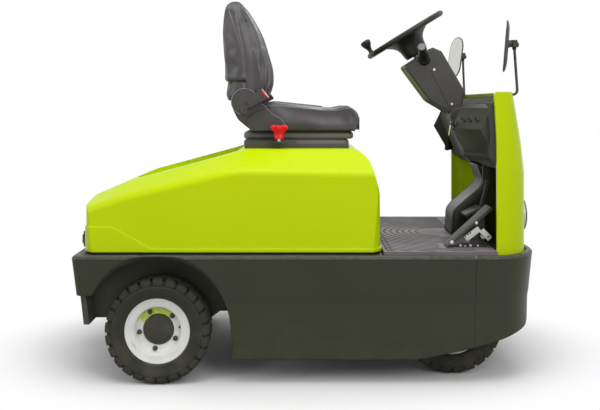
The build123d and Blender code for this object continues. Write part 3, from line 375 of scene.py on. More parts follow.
def make_scuff_group():
    """Short fine scratches as a mask, by noise stretched along the machine."""
    group, given, result = start_group("fine scuffs", {"Scale": 30.0}, ["Mask"])
    stretch = add_node(group, "Mapping")
    stretch.inputs["Scale"].default_value = (0.25, 1.0, 4.0)
    stretch.inputs["Rotation"].default_value = (0.0, 0.3, 0.0)
    wire(group, own_place(group), stretch.inputs["Vector"])
    scratches = noise_of(group, given["Scale"], 5.0, stretch.outputs["Vector"])
    wire(group, fade(group, scratches, 0.62, 0.74), result["Mask"])
    return group


glow_group = make_glow_group()
scuff_group = make_scuff_group()
effects = (tone_group, grain_group, dust_group, worn_or_lit_edge_group, glow_group, scuff_group)
print("effects:", [group.name for group in effects])

# %% [markdown]
# One function lays these effects over each other, the wear in the order in which it comes on the real
# machine: the colour of the coat with its soft clouds, then pale edges, which are partly wear and partly a
# painted highlight, then dust on top, and over all the painted lime light from the hood. Roughness goes up
# where the clouds, the scuffs and the dust are. Vinyl and plastic also turn dull where they are seen at a
# slant. The grain is only a bump.

# %% A finish from its effects


def place_group(tree, group, **values):
    """A shared effect in a material. Its values are numbers, colours or the results of other nodes."""
    node = tree.nodes.new("ShaderNodeGroup")
    node.node_tree = group
    for label, value in values.items():
        wire(tree, value, node.inputs[label])
    return node.outputs


def rougher(tree, rough, mask, amount=None):
    """Adds a mask to a roughness, times an amount if one is given."""
    return chain_math(tree, "ADD", rough, mask if amount is None else chain_math(tree, "MULTIPLY", mask, amount))


def finish_material(name, colour, second, roughness, metallic=0.0, coat=0.0, specular=0.3, rough_change=0.06,
                    tone=0.25, tone_scale=5.0, grain=0.0, grain_scale=900.0, grain_depth=0.0004, edge=0.0,
                    edge_width=0.0025, worn_or_lit=(150, 150, 146), upward=0.0, dust=0.0, dust_reach=0.5,
                    scuffs=0.0, glow=None, graze=0.0):
    """A finish with soft clouds, edges pale from wear and painted highlight, dust, scuffs, painted light from the
    hood and grain, in the amounts that it is given.
    """
    material, shader = start_material(name, screen(*colour), roughness, metallic, coat, specular)
    tree = material.node_tree
    clouds = place_group(tree, tone_group, Colour=screen(*colour), Second=screen(*second), Scale=tone_scale,
                         Amount=tone)
    last, normal = clouds["Colour"], None
    rough = fade(tree, clouds["Mask"], 0.0, 1.0, roughness - rough_change, roughness + rough_change)
    # The pale edge is partly wear and partly a painted highlight.
    if edge:
        worn_or_lit_edges = place_group(tree, worn_or_lit_edge_group, Colour=last, Width=edge_width, Amount=edge, Upward=upward,
                             Worn=screen(*worn_or_lit))
        last, normal = worn_or_lit_edges["Colour"], worn_or_lit_edges["Normal"]
    if dust:
        powder = place_group(tree, dust_group, Colour=last, Reach=dust_reach, Amount=dust)
        last = powder["Colour"]
        rough = rougher(tree, rough, powder["Mask"], 0.4)
    if scuffs:
        rough = rougher(tree, rough, place_group(tree, scuff_group)["Mask"], scuffs)
    if glow:
        last = place_group(tree, glow_group, Colour=last, Glow=screen(*glow))["Colour"]
    if graze:
        slant = add_node(tree, "LayerWeight")
        slant.inputs["Blend"].default_value = 0.5
        rough = rougher(tree, rough, fade(tree, slant.outputs["Facing"], 0.7, 0.97, 0.0, graze))
    wire(tree, last, shader.inputs["Base Color"])
    wire(tree, rough, shader.inputs["Roughness"])
    if grain:
        bump = add_node(tree, "Bump")
        bump.inputs["Strength"].default_value = grain
        bump.inputs["Distance"].default_value = grain_depth
        wire(tree, place_group(tree, grain_group, Scale=grain_scale)["Height"], bump.inputs["Height"])
        if normal:
            wire(tree, normal, bump.inputs["Normal"])
        normal = bump.outputs["Normal"]
    if normal:
        wire(tree, normal, shader.inputs["Normal"])
    return material


print("effects in a finish:", len(effects))

# %% [markdown]
# Every finish of the machine, one row each: its colours are screen values, and the numbers are amounts of
# the effects. The first name is the construction model's material slot where there is one, so a CAD node
# finds its finish by its slot. The others are extra finishes for the new pieces. The lime paint is smooth
# under a thin clear coat. The dark body paint has a fine texture. Plastic and rubber are rougher and carry
# a moulded grain.

# %% The finishes
finishes = {
    "body_green": finish_material(
        "lime paint", (192, 216, 0), (180, 206, 0), 0.3, tone=0.5, tone_scale=1.6, grain=0.03, grain_scale=240.0,
        edge=0.35, edge_width=0.005, worn_or_lit=(216, 234, 30), coat=0.12, specular=0.08, rough_change=0.03,
        scuffs=0.03),
    # The pale edges of the dark body, kept to faces that look up, are a painted highlight along its top edges.
    "body_dark": finish_material(
        "dark body paint", (57, 60, 44), (50, 53, 38), 0.42, tone=0.5, tone_scale=3.0, grain=0.3,
        grain_scale=620.0, dust=0.08, dust_reach=0.34, edge=1.0, edge_width=0.010, worn_or_lit=(150, 148, 144),
        scuffs=0.12, specular=0.2, upward=1.0),
    "frame_black": finish_material(
        "black powder coat", (74, 74, 63), (84, 82, 73), 0.5, grain=0.3, grain_scale=800.0,
        dust=0.4, dust_reach=0.5, edge=0.3, specular=0.2),
    "tyre_rubber": finish_material(
        "tyre rubber", (48, 49, 40), (60, 60, 54), 0.74, tone=0.6, tone_scale=9.0,
        grain=0.4, grain_scale=500.0, dust=0.22, dust_reach=0.42, edge=0.5, edge_width=0.002,
        worn_or_lit=(100, 96, 98), specular=0.2),
    "rim_white": finish_material(
        "white rim paint", (240, 241, 236), (218, 220, 212), 0.38, tone=0.4, tone_scale=9.0,
        grain=0.1, grain_scale=300.0, dust=0.16, dust_reach=0.4, coat=0.2, edge=0.3, worn_or_lit=(176, 176, 168)),
    "hub_dark": finish_material(
        "dark hub", (56, 57, 48), (70, 69, 60), 0.5, grain=0.3, grain_scale=600.0, dust=0.2,
        edge=0.4, specular=0.25),
    "bare_steel": finish_material(
        "bare steel", (150, 150, 148), (116, 114, 110), 0.36, tone=0.5, metallic=1.0,
        grain=0.1, grain_scale=900.0),
    # The pale edges of the black plastic are partly wear and partly a painted highlight, as on the recliner's
    # cover.
    "black_plastic": finish_material(
        "black plastic", (74, 72, 70), (66, 63, 60), 0.46, tone=0.4, grain=0.4, grain_scale=1000.0,
        edge=0.6, edge_width=0.003, worn_or_lit=(132, 126, 132), scuffs=0.08, specular=0.22),
    # The paler clouds of the seat vinyl are partly painted sheen.
    "seat_vinyl": finish_material(
        "seat vinyl", (50, 47, 48), (82, 78, 82), 0.34, tone=0.8, tone_scale=6.0,
        grain=0.5, grain_scale=650.0, grain_depth=0.0005, specular=0.45, graze=0.6),
    # Pale cords on the recliner's cover, which are painted highlights.
    "light_edge": finish_material(
        "painted highlight cord", (136, 132, 134), (112, 108, 110), 0.5, tone=0.6, tone_scale=50.0, specular=0.25),
    # The dark colour of the ribs is painted shade of the grooves between them.
    "rib_rubber": finish_material(
        "mat rib rubber with painted shade", (58, 56, 58), (70, 67, 70), 0.6, tone=0.4, tone_scale=12.0, grain=0.3,
        grain_scale=800.0, specular=0.2),
    "cover_plastic": finish_material(
        "column cover plastic", (70, 68, 65), (60, 58, 56), 0.40, tone=0.5, grain=0.3, grain_scale=1000.0,
        edge=0.5, edge_width=0.004, worn_or_lit=(118, 114, 116), specular=0.3, glow=(136, 152, 66), graze=0.5),
    "deep_black": finish_material(
        "deep black plastic", (36, 35, 28), (48, 46, 42), 0.34, tone=0.4, grain=0.25,
        grain_scale=1000.0, edge=0.5, edge_width=0.004, worn_or_lit=(84, 80, 84), specular=0.24, graze=0.5),
    "dash_black": finish_material(
        "dash plastic", (62, 62, 54), (52, 53, 42), 0.5, tone=0.5, grain=0.4, grain_scale=900.0,
        edge=0.6, edge_width=0.004, worn_or_lit=(104, 100, 104), specular=0.2, graze=0.5),
    "pedal_grey": finish_material(
        "pedal plastic", (66, 63, 62), (54, 52, 50), 0.5, tone=0.4, grain=0.4, grain_scale=800.0,
        edge=0.7, edge_width=0.003, worn_or_lit=(126, 122, 124), specular=0.2),
    "rail_grey": finish_material(
        "seat rail paint", (78, 78, 68), (66, 66, 58), 0.45, tone=0.4, grain=0.2, grain_scale=700.0,
        edge=0.6, worn_or_lit=(136, 132, 134), specular=0.25),
    "cap_grey": finish_material(
        "lever cap", (136, 130, 136), (112, 108, 112), 0.4, tone=0.5, tone_scale=60.0, edge=0.5,
        edge_width=0.002, worn_or_lit=(168, 164, 168)),
    "bright_zinc": finish_material(
        "bright zinc", (214, 214, 208), (180, 180, 176), 0.32, tone=0.4, tone_scale=60.0,
        metallic=0.9, grain=0.1),
    "yellow_zinc": finish_material(
        "yellow zinc", (176, 186, 60), (140, 150, 40), 0.35, tone=0.5, tone_scale=80.0,
        metallic=0.6, grain=0.1),
    "dark_bolt": finish_material(
        "dark bolt", (92, 90, 88), (70, 68, 66), 0.4, tone=0.4, tone_scale=60.0, metallic=0.5,
        edge=0.5, edge_width=0.001, worn_or_lit=(140, 138, 138)),
    "tag_yellow": finish_material(
        "key tag", (226, 230, 150), (206, 212, 110), 0.5, tone=0.6, tone_scale=50.0, grain=0.1),
    "lamp_glass": finish_material(
        "lamp glass", (226, 229, 230), (206, 210, 212), 0.08, tone=0.3, tone_scale=40.0, coat=1.0,
        specular=0.5),
    "piping": finish_material(
        "piping vinyl", (84, 80, 84), (72, 68, 72), 0.36, grain=0.2, grain_scale=700.0, specular=0.5),
    "bellows": finish_material(
        "bellows rubber", (120, 116, 115), (96, 92, 91), 0.42, tone=0.5, grain=0.2,
        grain_scale=600.0, specular=0.4),
    "mat_rubber": finish_material(
        "mat rubber", (124, 119, 122), (104, 100, 102), 0.62, tone=0.5, tone_scale=8.0,
        grain=0.4, grain_scale=700.0, specular=0.25),
    "seal_rubber": finish_material(
        "seal rubber", (30, 30, 26), (42, 41, 37), 0.7, grain=0.2, grain_scale=700.0, specular=0.15),
    "mirror_glass": finish_material(
        "mirror silver", (206, 209, 200), (196, 199, 190), 0.12, tone=0.2, metallic=1.0,
        rough_change=0.03),
    "lamp_red": finish_material(
        "red lens", (150, 8, 14), (110, 4, 8), 0.14, tone=0.3, tone_scale=30.0, coat=0.6),
    "lamp_clear": finish_material(
        "clear lens", (214, 217, 218), (192, 196, 198), 0.1, tone=0.3, tone_scale=30.0, coat=0.8),
    "knob_red": finish_material(
        "red knob plastic", (226, 6, 20), (200, 2, 14), 0.34, tone=0.4, tone_scale=40.0,
        grain=0.1, grain_scale=900.0),
    "sensor_grey": finish_material(
        "pale grey plastic", (204, 204, 194), (180, 180, 170), 0.45, tone=0.4, tone_scale=30.0,
        grain=0.2, grain_scale=900.0, edge=0.3, edge_width=0.001, worn_or_lit=(226, 226, 220)),
    "battery_case": finish_material(
        "battery case", (52, 56, 60), (64, 66, 68), 0.6, grain=0.3, grain_scale=700.0),
}
for node in nodes.values():
    for material_slot in node.material_slots:
        if material_slot.material and material_slot.material.name in finishes:
            material_slot.material = finishes[material_slot.material.name]
print("finishes:", len(finishes))

# %% [markdown]
# The floor is nearly white where it is seen directly, and greyer for the light that it throws back, so the
# machine isn't lit too much from below. It keeps the shadow that ties the machine to the ground, and fades
# to plain white with distance, like the paper sweep of a photo studio.

# %% The floor's finish
floor_reach = (0.60, 1.02)
floor_squeeze = (0.70, 1.15)
seen_colour = screen(242, 242, 242)
thrown_colour = screen(158, 158, 158)


def finish_floor():
    material, shader = start_material("floor paper", screen(240, 240, 240), 0.9, specular=0.1)
    tree = material.node_tree
    squeezed = add_node(tree, "Mapping")
    squeezed.inputs["Scale"].default_value = (*floor_squeeze, 1.0)
    distance = add_node(tree, "VectorMath", operation="LENGTH")
    wire(tree, own_place(tree), squeezed.inputs["Vector"])
    wire(tree, squeezed.outputs["Vector"], distance.inputs[0])
    far_away = fade(tree, distance.outputs["Value"], *floor_reach)
    colour = blend_colours(tree, seen_directly(tree), thrown_colour, seen_colour)
    wire(tree, colour, shader.inputs["Base Color"])
    mix = add_node(tree, "MixShader")
    wire(tree, chain_math(tree, "MULTIPLY", far_away, seen_directly(tree)), mix.inputs[0])
    wire(tree, shader.outputs["BSDF"], mix.inputs[1])
    wire(tree, add_node(tree, "Emission").outputs["Emission"], mix.inputs[2])
    wire(tree, mix.outputs["Shader"], tree.nodes["Material Output"].inputs["Surface"])
    bump = add_node(tree, "Bump")
    bump.inputs["Strength"].default_value = 0.03
    wire(tree, noise_of(tree, 30.0), bump.inputs["Height"])
    wire(tree, bump.outputs["Normal"], shader.inputs["Normal"])
    return material


floor.data.materials.append(finish_floor())
print("floor fades to white between", floor_reach, "m")

# %% [markdown]
# A new piece needs two things: the body that it moves with, and a finish, which is that of the slot of the
# construction model that it belongs to if no other is named.

# %% A new piece's body and finish


def adopt(piece, body, slot_name, finish=None):
    """Gives a new piece its body, and the finish that is named or else that of its slot."""
    piece.data.materials.clear()
    piece.data.materials.append(finishes[finish or slot_name])
    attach(piece, body)
    return piece


def shade(mesh, least_degrees=None):
    """Smooth shading. Edges that are sharper than an angle stay sharp, if one is given."""
    for face in mesh.polygons:
        face.use_smooth = True
    if least_degrees is not None:
        mesh.set_sharp_from_angle(angle=radians(least_degrees))


def dress(bm, name, body, slot_name, finish=None, least_degrees=35, node_name=None):
    """Makes a finished piece of a mesh under construction. It stands for a node if one is named."""
    piece = link_object(name, mesh_from(bm, name))
    shade(piece.data, least_degrees)
    adopt(piece, body, slot_name, finish)
    if node_name:
        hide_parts(node_name)
    return piece


# %% [markdown]
# A wheel is three pieces: the tyre, the pressed rim and the hub. Each is a profile spun round the axle.
# The spin is done once for a wheel that stands at the origin with its outer side towards -Y, and the
# result is placed four times. Profiles are rows of radius and place across, in millimetres.

# %% Helpers for spun pieces
mm = 0.001
wheel_half = 59.5
tyre_radius = 191.0
rim_half = 46.0


def wire_of(bm, rows, close):
    """A chain of edges through rows of (radius, place across)."""
    verts = [bm.verts.new((radius * mm, across * mm, 0)) for radius, across in rows]
    pairs = list(zip(verts, verts[1:] + verts[:1])) if close else list(zip(verts, verts[1:]))
    return verts + [bm.edges.new(pair) for pair in pairs]


def spun(rows, steps, close=True):
    """A mesh that is a profile spun once round the Y axis."""
    bm = bmesh.new()
    geometry = wire_of(bm, rows, close)
    bmesh.ops.spin(bm, geom=geometry, cent=(0, 0, 0), axis=(0, 1, 0), angle=tau, steps=steps, use_merge=True)
    bmesh.ops.remove_doubles(bm, verts=bm.verts, dist=0.00002)
    bmesh.ops.recalc_face_normals(bm, faces=bm.faces)
    return bm


def sharp_edges(bm, least_degrees, rule=None):
    """The edges where two faces meet at more than an angle."""
    found = []
    for edge in bm.edges:
        if len(edge.link_faces) == 2 and degrees(edge.calc_face_angle(0.0)) > least_degrees:
            if rule is None or rule((edge.verts[0].co + edge.verts[1].co) / 2):
                found.append(edge)
    return found


def soften(bm, least_degrees, offset, segments=2, rule=None):
    """Rounds the sharp edges a little."""
    edges = sharp_edges(bm, least_degrees, rule)
    bmesh.ops.bevel(bm, geom=edges, offset=offset, segments=segments, profile=0.5, affect="EDGES", material=-1)
    return len(edges)


def radius_of(place):
    return hypot(place.x, place.z)


def points_of(result):
    """The points among what an operator has made."""
    return [item for item in result["geom"] if isinstance(item, bmesh.types.BMVert)]


def share_of(value, start, length):
    """0 up to a start, 1 from a length further on, and even between them."""
    return max(0.0, min(1.0, (value - start) / length))


print("wheel:", 2 * tyre_radius, "x", 2 * wheel_half, "mm")

# %% [markdown]
# The tyre has blocks on both shoulders that are half a pitch apart, with a narrow band between them.
# Each pitch is four steps of the spin: three steps of block and one of gap. The faces of a gap are
# extruded inwards, which leaves the blocks standing. A light bevel then catches the light on every
# block, and a twist that grows towards the shoulder slants the gaps.

# %% The tyre
pitches = 25
steps_in_pitch = 4
gap_depth = 11.0
gap_start_radius = 165.0
gap_half = 49.5
band_half = 8.0
shoulder_slant = radians(3.4)
tyre_rows = [
    (113, 41), (119, 42.5), (121, 48), (124, 52.5), (127, 53.5), (130, 53), (134, 54.8), (143, 57.6),
    (151, 59), (156.5, 59.2), (158, 59.5), (160, 59.4), (162, 57.2), (165, 56.8), (167, 58.4), (174, 57.2),
    (181, 54.6), (186.5, 50.6),
    (189.4, 44), (190.6, 30), (191, band_half), (191, -band_half),
]
tyre_rows = tyre_rows + [(radius, -across) for radius, across in reversed(tyre_rows[:-2])]


def make_tyre():
    steps = pitches * steps_in_pitch
    bm = spun(tyre_rows, steps)
    gaps = []
    for face in bm.faces:
        place = face.calc_center_median()
        step = int((atan2(place.z, place.x) % tau) / tau * steps) % steps_in_pitch
        if abs(place.y) > band_half * mm and radius_of(place) > gap_start_radius * mm:
            if step == (3 if place.y < 0 else 1):
                gaps.append(face)
    lowered = bmesh.ops.extrude_face_region(bm, geom=gaps)
    for vert in points_of(lowered):
        radius = radius_of(vert.co)
        shrink = min(1.0, (tyre_radius - gap_depth) * mm / radius)
        across = min(abs(vert.co.y), gap_half * mm)
        vert.co = (vert.co.x * shrink, across if vert.co.y > 0 else -across, vert.co.z * shrink)
    bmesh.ops.delete(bm, geom=[face for face in gaps if face.is_valid], context="FACES")
    bmesh.ops.recalc_face_normals(bm, faces=bm.faces)
    rounded = soften(bm, 40, 1.1 * mm, 1, rule=lambda place: radius_of(place) > gap_start_radius * mm)
    for vert in bm.verts:
        if radius_of(vert.co) >= gap_start_radius * mm:
            share = share_of(abs(vert.co.y) / mm, band_half, wheel_half - band_half)
            vert.co = Matrix.Rotation(share * shoulder_slant, 3, "Y") @ vert.co
    print("tyre gaps:", len(gaps), "faces, block edges:", rounded)
    return mesh_from(bm, "tyre")


tyre_mesh = make_tyre()
shade(tyre_mesh, 38)

# %% [markdown]
# The rim is one pressed shape: a rolled flange, a broad flat ring, a steep wall and the disc with its
# bolts. A narrow slot is pressed into the ring. The disc still has some lime paint on it from the time
# when the axle was sprayed, so the mesh carries an attribute that says where that mist lies.

# %% The rim
outer_face = -rim_half
slot_radius = (99.2, 100.8)
slot_angle = 212.0
rim_rows = [
    # radius, how deep behind the outer face
    (119, 1.6), (117.6, 0), (113, 0.8), (110, 3.0), (slot_radius[1], 4.6), (slot_radius[0], 5.0), (90, 6.4),
    (86, 8.6), (81, 25), (78.5, 29), (75, 30), (64, 30.6), (56.5, 30), (56.5, 34), (79, 34), (85, 31),
    (90, 12), (105, 12), (105, 87), (108, 92), (119, 92), (119, 88), (112, 86), (112, 7), (119, 5),
]
mist_arc = (42.0, 158.0)
mist_edge = 16.0
disc_edge = (84.5, 3.0)


def make_rim():
    steps = 96
    bm = spun([(radius, outer_face + depth) for radius, depth in rim_rows], steps)
    slot_faces = []
    for face in bm.faces:
        place = face.calc_center_median()
        turn = degrees(atan2(place.z, place.x)) % 360
        if slot_radius[0] < radius_of(place) / mm < slot_radius[1] and place.y < 0 and abs(turn - slot_angle) < 4:
            slot_faces.append(face)
    sunk = bmesh.ops.extrude_face_region(bm, geom=slot_faces)
    bmesh.ops.translate(bm, verts=points_of(sunk), vec=(0, 2.5 * mm, 0))
    bmesh.ops.delete(bm, geom=[face for face in slot_faces if face.is_valid], context="FACES")
    soften(bm, 28, 1.0 * mm, 2, rule=lambda place: radius_of(place) > 101.5 * mm or radius_of(place) < 97 * mm)
    mesh = mesh_from(bm, "rim")
    mist = mesh.attributes.new("paint_mist", "FLOAT", "POINT")
    for vert, cell in zip(mesh.vertices, mist.data):
        turn = degrees(atan2(vert.co.z, vert.co.x)) % 360
        inside = share_of(min(turn - mist_arc[0], mist_arc[1] - turn), 0.0, mist_edge)
        on_disc = share_of(disc_edge[0] - radius_of(vert.co) / mm, 0.0, disc_edge[1])
        cell.value = inside * on_disc if vert.co.y < 0 else 0.0
    print("rim slot faces:", len(slot_faces), "points:", len(mesh.vertices))
    return mesh


rim_mesh = make_rim()
shade(rim_mesh, 30)

# %% [markdown]
# The hub is dark: a cap with a stepped edge in the middle of the disc, and behind the disc the drum that
# turns on the stub. Five hexagon bolts with washers hold the rim. The valve stem stands by the wall.

# %% The hub, its bolts and the valve
hub_rows = [
    # radius, how deep behind the outer face
    (0, 23), (41, 23), (45, 24), (46, 26.5), (48, 26.5), (49, 24.5), (53, 26), (55.5, 30), (55.5, 34.5),
    (48, 34.5), (48, 74), (29.5, 74), (29.5, 34), (0, 34),
]
bolt_circle = 70.0
bolt_first_angle = 44.0
valve_angle = radians(7.0)
valve_circle = 78.0


def add_disc(bm, radius, height, turn, place, segments=24, top=None):
    """A short round or six-sided post that stands on a place, its axis turned from Z."""
    made = bmesh.ops.create_cone(
        bm, cap_ends=True, cap_tris=False, segments=segments, radius1=radius,
        radius2=radius if top is None else top, depth=height)["verts"]
    bmesh.ops.translate(bm, verts=made, vec=(0, 0, height / 2))
    bmesh.ops.transform(bm, verts=made, matrix=Matrix.Translation(place) @ turn)


def make_hub():
    bm = spun([(max(radius, 0.01), outer_face + depth) for radius, depth in hub_rows], 72, close=False)
    bmesh.ops.remove_doubles(bm, verts=bm.verts, dist=0.0001)
    soften(bm, 28, 0.5 * mm, 1)
    towards_viewer = Matrix.Rotation(pi / 2, 4, "X")
    disc_face = (outer_face + 30.4) * mm
    for count in range(5):
        angle = radians(bolt_first_angle + 72 * count)
        x, z = bolt_circle * mm * cos(angle), bolt_circle * mm * sin(angle)
        own_turn = towards_viewer @ Matrix.Rotation(0.5 * count, 4, "Z")
        add_disc(bm, 9.4 * mm, 1.6 * mm, towards_viewer, (x, disc_face, z), 24)
        add_disc(bm, 7.6 * mm, 6.5 * mm, own_turn, (x, disc_face - 1.6 * mm, z), 6)
        add_disc(bm, 5.0 * mm, 2.6 * mm, towards_viewer, (x, disc_face - 8.1 * mm, z), 16, 4.2 * mm)
    foot = Vector((valve_circle * cos(valve_angle), outer_face + 28, valve_circle * sin(valve_angle))) * mm
    add_disc(bm, 3.6 * mm, 5 * mm, towards_viewer, foot, 16, 3.2 * mm)
    add_disc(bm, 2.5 * mm, 14 * mm, towards_viewer, foot, 16)
    bmesh.ops.recalc_face_normals(bm, faces=bm.faces)
    return mesh_from(bm, "hub")


hub_mesh = make_hub()
shade(hub_mesh, 30)

# %% [markdown]
# Each mesh is copied to the four wheels with its place inside the mesh. The wheels on the far side are
# turned to face outwards, and every wheel has rolled to an angle of its own.

# %% The four wheels
wheel_rows = [
    # name, x, y of the middle, how far the wheel has rolled
    ("front_right", 0.580, -0.2865, 100.0), ("front_left", 0.580, 0.2865, 210.0),
    ("rear_right", -0.505, -0.4015, 0.0), ("rear_left", -0.505, 0.4015, 55.0),
]
wheel_height = 0.191
wheel_pieces = [
    # mesh, name of the piece, name of its node, slot
    (tyre_mesh, "tread_", "tyre_", "tyre_rubber"), (rim_mesh, "pressed_rim_", "rim_", "rim_white"),
    (hub_mesh, "hub_and_bolts_", "hub_", "hub_dark"),
]


def misty(material):
    """Adds the lime mist of the rim's attribute to a finish."""
    tree = material.node_tree
    shader = tree.nodes["Principled BSDF"]
    clean = shader.inputs["Base Color"].links[0].from_socket
    where = add_node(tree, "Attribute", attribute_name="paint_mist")
    broken = fade(tree, noise_of(tree, 140.0, 6.0), 0.38, 0.62)
    edge = chain_math(tree, "MULTIPLY", where.outputs["Fac"], 1.9)
    laid = chain_math(tree, "MULTIPLY", edge, chain_math(tree, "ADD", broken, 0.25))
    share = chain_math(tree, "MINIMUM", laid, 0.96)
    wire(tree, blend_colours(tree, share, clean, screen(188, 210, 0)), shader.inputs["Base Color"])


misty(finishes["rim_white"])
for name, x, y, rolled in wheel_rows:
    middle = Matrix.Translation((x, y, wheel_height))
    turn = middle @ Matrix.Rotation(pi if y > 0 else 0.0, 4, "Z") @ Matrix.Rotation(radians(rolled), 4, "Y")
    for mesh, piece_name, node_name, slot_name in wheel_pieces:
        piece = link_object(piece_name + name, mesh.copy())
        piece.data.transform(turn)
        adopt(piece, "wheel_" + name, slot_name)
        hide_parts(node_name + name)
print("wheels:", len(wheel_rows), "tyre faces each:", len(tyre_mesh.polygons))

# %% [markdown]
# The seat cushion and the backrest are foam under vinyl. A real pad is crowned: the cover is tight over
# the foam and pulled in at its seams. The pads start from the plain solids of the construction model,
# a little smaller, and a voxel remesh gives them an even skin. These helpers make, move, smooth and fit
# such a skin.

# %% Helpers for skins
voxel_size = 0.006
start_inset = 0.007


def apply_modifiers(piece):
    depsgraph = bpy.context.evaluated_depsgraph_get()
    mesh = bpy.data.meshes.new_from_object(piece.evaluated_get(depsgraph))
    piece.modifiers.clear()
    old = piece.data
    piece.data = mesh
    bpy.data.meshes.remove(old)


def merged_copy(node_name, reach=0.0001):
    """A copy of a node's loose triangles as one closed mesh."""
    bm = bmesh.new()
    bm.from_mesh(nodes[node_name].data)
    bmesh.ops.remove_doubles(bm, verts=bm.verts, dist=reach)
    return bm


def skin_of(node_name, piece_name, step=voxel_size):
    """A copy of a node's shape as one even skin of small square faces."""
    piece = link_object(piece_name, mesh_from(merged_copy(node_name), piece_name))
    remesh = piece.modifiers.new("even skin", "REMESH")
    remesh.mode = "VOXEL"
    remesh.voxel_size = step
    apply_modifiers(piece)
    return piece


def move_points(piece, rule):
    """Moves every point of a pad by a rule that gets the point and its normal."""
    bm = bmesh.new()
    bm.from_mesh(piece.data)
    bm.normal_update()
    moved = [(vert, rule(vert.co, vert.normal)) for vert in bm.verts]
    for vert, place in moved:
        vert.co = place
    bm.to_mesh(piece.data)
    bm.free()


def smooth_skin(piece, rounds):
    bm = bmesh.new()
    bm.from_mesh(piece.data)
    for turn in range(rounds):
        bmesh.ops.smooth_vert(bm, verts=bm.verts, factor=0.5, use_axis_x=True, use_axis_y=True, use_axis_z=True)
    bm.to_mesh(piece.data)
    bm.free()


def fit_to(piece, low, high):
    """Stretches a pad to the box that its solid holds."""
    corners = [vert.co for vert in piece.data.vertices]
    own_low = Vector([min(corner[axis] for corner in corners) for axis in range(3)])
    own_high = Vector([max(corner[axis] for corner in corners) for axis in range(3)])
    scale = Matrix.Diagonal([(high[axis] - low[axis]) / (own_high[axis] - own_low[axis]) for axis in range(3)])
    for vert in piece.data.vertices:
        vert.co = Vector(low) + scale @ (vert.co - own_low)


def subdivide(piece):
    finer = piece.modifiers.new("finer", "SUBSURF")
    finer.levels = 1
    finer.render_levels = 1
    apply_modifiers(piece)


print("skin step:", voxel_size * 1000, "mm")

# %% [markdown]
# A short cloth simulation with inner pressure swells the skin as foam swells a cover. How far it may swell
# is limited, so a pad stays in its place. Seams come last, because the remesh would wipe them out.

# %% From a skin to a foam pad
inner_pressure = 4.0
most_swelling = 0.0085
held_height = 0.012
steps_of_swelling = 20


def swell(piece, held_below):
    """Swells a skin with inner pressure, and keeps each point near the place where it started. Points
    below a height don't move."""
    start = [vert.co.copy() for vert in piece.data.vertices]
    group = piece.vertex_groups.new(name="held")
    for index, point in enumerate(start):
        group.add([index], 1.0 if point.z < held_below else 0.0, "REPLACE")
    cloth = piece.modifiers.new("swell", "CLOTH")
    settings = cloth.settings
    settings.quality = 5
    settings.mass = 0.3
    settings.tension_stiffness = 15
    settings.compression_stiffness = 15
    settings.bending_stiffness = 2.0
    settings.use_pressure = True
    settings.uniform_pressure_force = inner_pressure
    settings.vertex_group_mass = "held"
    settings.effector_weights.gravity = 0
    cloth.collision_settings.use_collision = False
    cloth.point_cache.frame_start = 1
    cloth.point_cache.frame_end = steps_of_swelling
    for frame_number in range(1, steps_of_swelling + 1):
        bpy.context.scene.frame_set(frame_number)
    apply_modifiers(piece)
    bpy.context.scene.frame_set(1)
    for vert, point in zip(piece.data.vertices, start):
        step = vert.co - point
        if step.length > most_swelling:
            vert.co = point + step.normalized() * most_swelling
    piece.vertex_groups.clear()


def foam_pad(node_name, piece_name, rounds):
    """A crowned pad in the box of a node, from the node's plain solid."""
    low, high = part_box(node_name)
    piece = skin_of(node_name, piece_name)
    move_points(piece, lambda place, normal: place - normal * start_inset)
    swell(piece, low.z + held_height)
    smooth_skin(piece, rounds)
    subdivide(piece)
    fit_to(piece, low, high)
    return piece


def finish_pad(piece, body, node_name):
    shade(piece.data)
    adopt(piece, body, "seat_vinyl")
    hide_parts(node_name)


print("a pad swells by up to", most_swelling * 1000, "mm")

# %% [markdown]
# A seam is a line on the pad. It is drawn through a few points in the side view or on the front, and a
# smooth path runs through them. Where a seam pulls the cover in, the points near the path sink, deepest
# on the line. A cord of piping is a thin tube that lies on the cover along such a path.

# %% Helpers for seams and tubes
seam_depth = 0.0042
seam_width = 0.0042


def smooth_path(points, count=12):
    """More points on a smooth path through the given ones."""
    points = [Vector(point) for point in points]
    ends = [points[0] * 2 - points[1]] + points + [points[-1] * 2 - points[-2]]
    path = []
    for before, start, end, after in zip(ends, ends[1:], ends[2:], ends[3:]):
        for step in range(count):
            t = step / count
            path.append(0.5 * (2 * start + (end - before) * t + (2 * before - 5 * start + 4 * end - after) * t ** 2
                               + (3 * start - before - 3 * end + after) * t ** 3))
    return path + [points[-1]]


def nearness(path):
    """A rule that says how far a point is from a path."""
    tree = KDTree(len(path))
    for index, point in enumerate(path):
        tree.insert(point, index)
    tree.balance()
    return lambda place: tree.find(place)[2]


def tube(name, path, radius, sides=8, closed=False):
    """A round tube along a path, with closed ends."""
    line = bpy.data.curves.new(name, "CURVE")
    line.dimensions = "3D"
    spline = line.splines.new("POLY")
    spline.points.add(len(path) - 1)
    for cell, point in zip(spline.points, path):
        cell.co = (*point, 1)
    spline.use_cyclic_u = closed
    line.bevel_depth = radius
    line.bevel_resolution = sides // 4
    line.use_fill_caps = True
    holder = link_object(name, line)
    depsgraph = bpy.context.evaluated_depsgraph_get()
    mesh = bpy.data.meshes.new_from_object(holder.evaluated_get(depsgraph))
    bpy.data.objects.remove(holder)
    shade(mesh)
    return link_object(name, mesh)


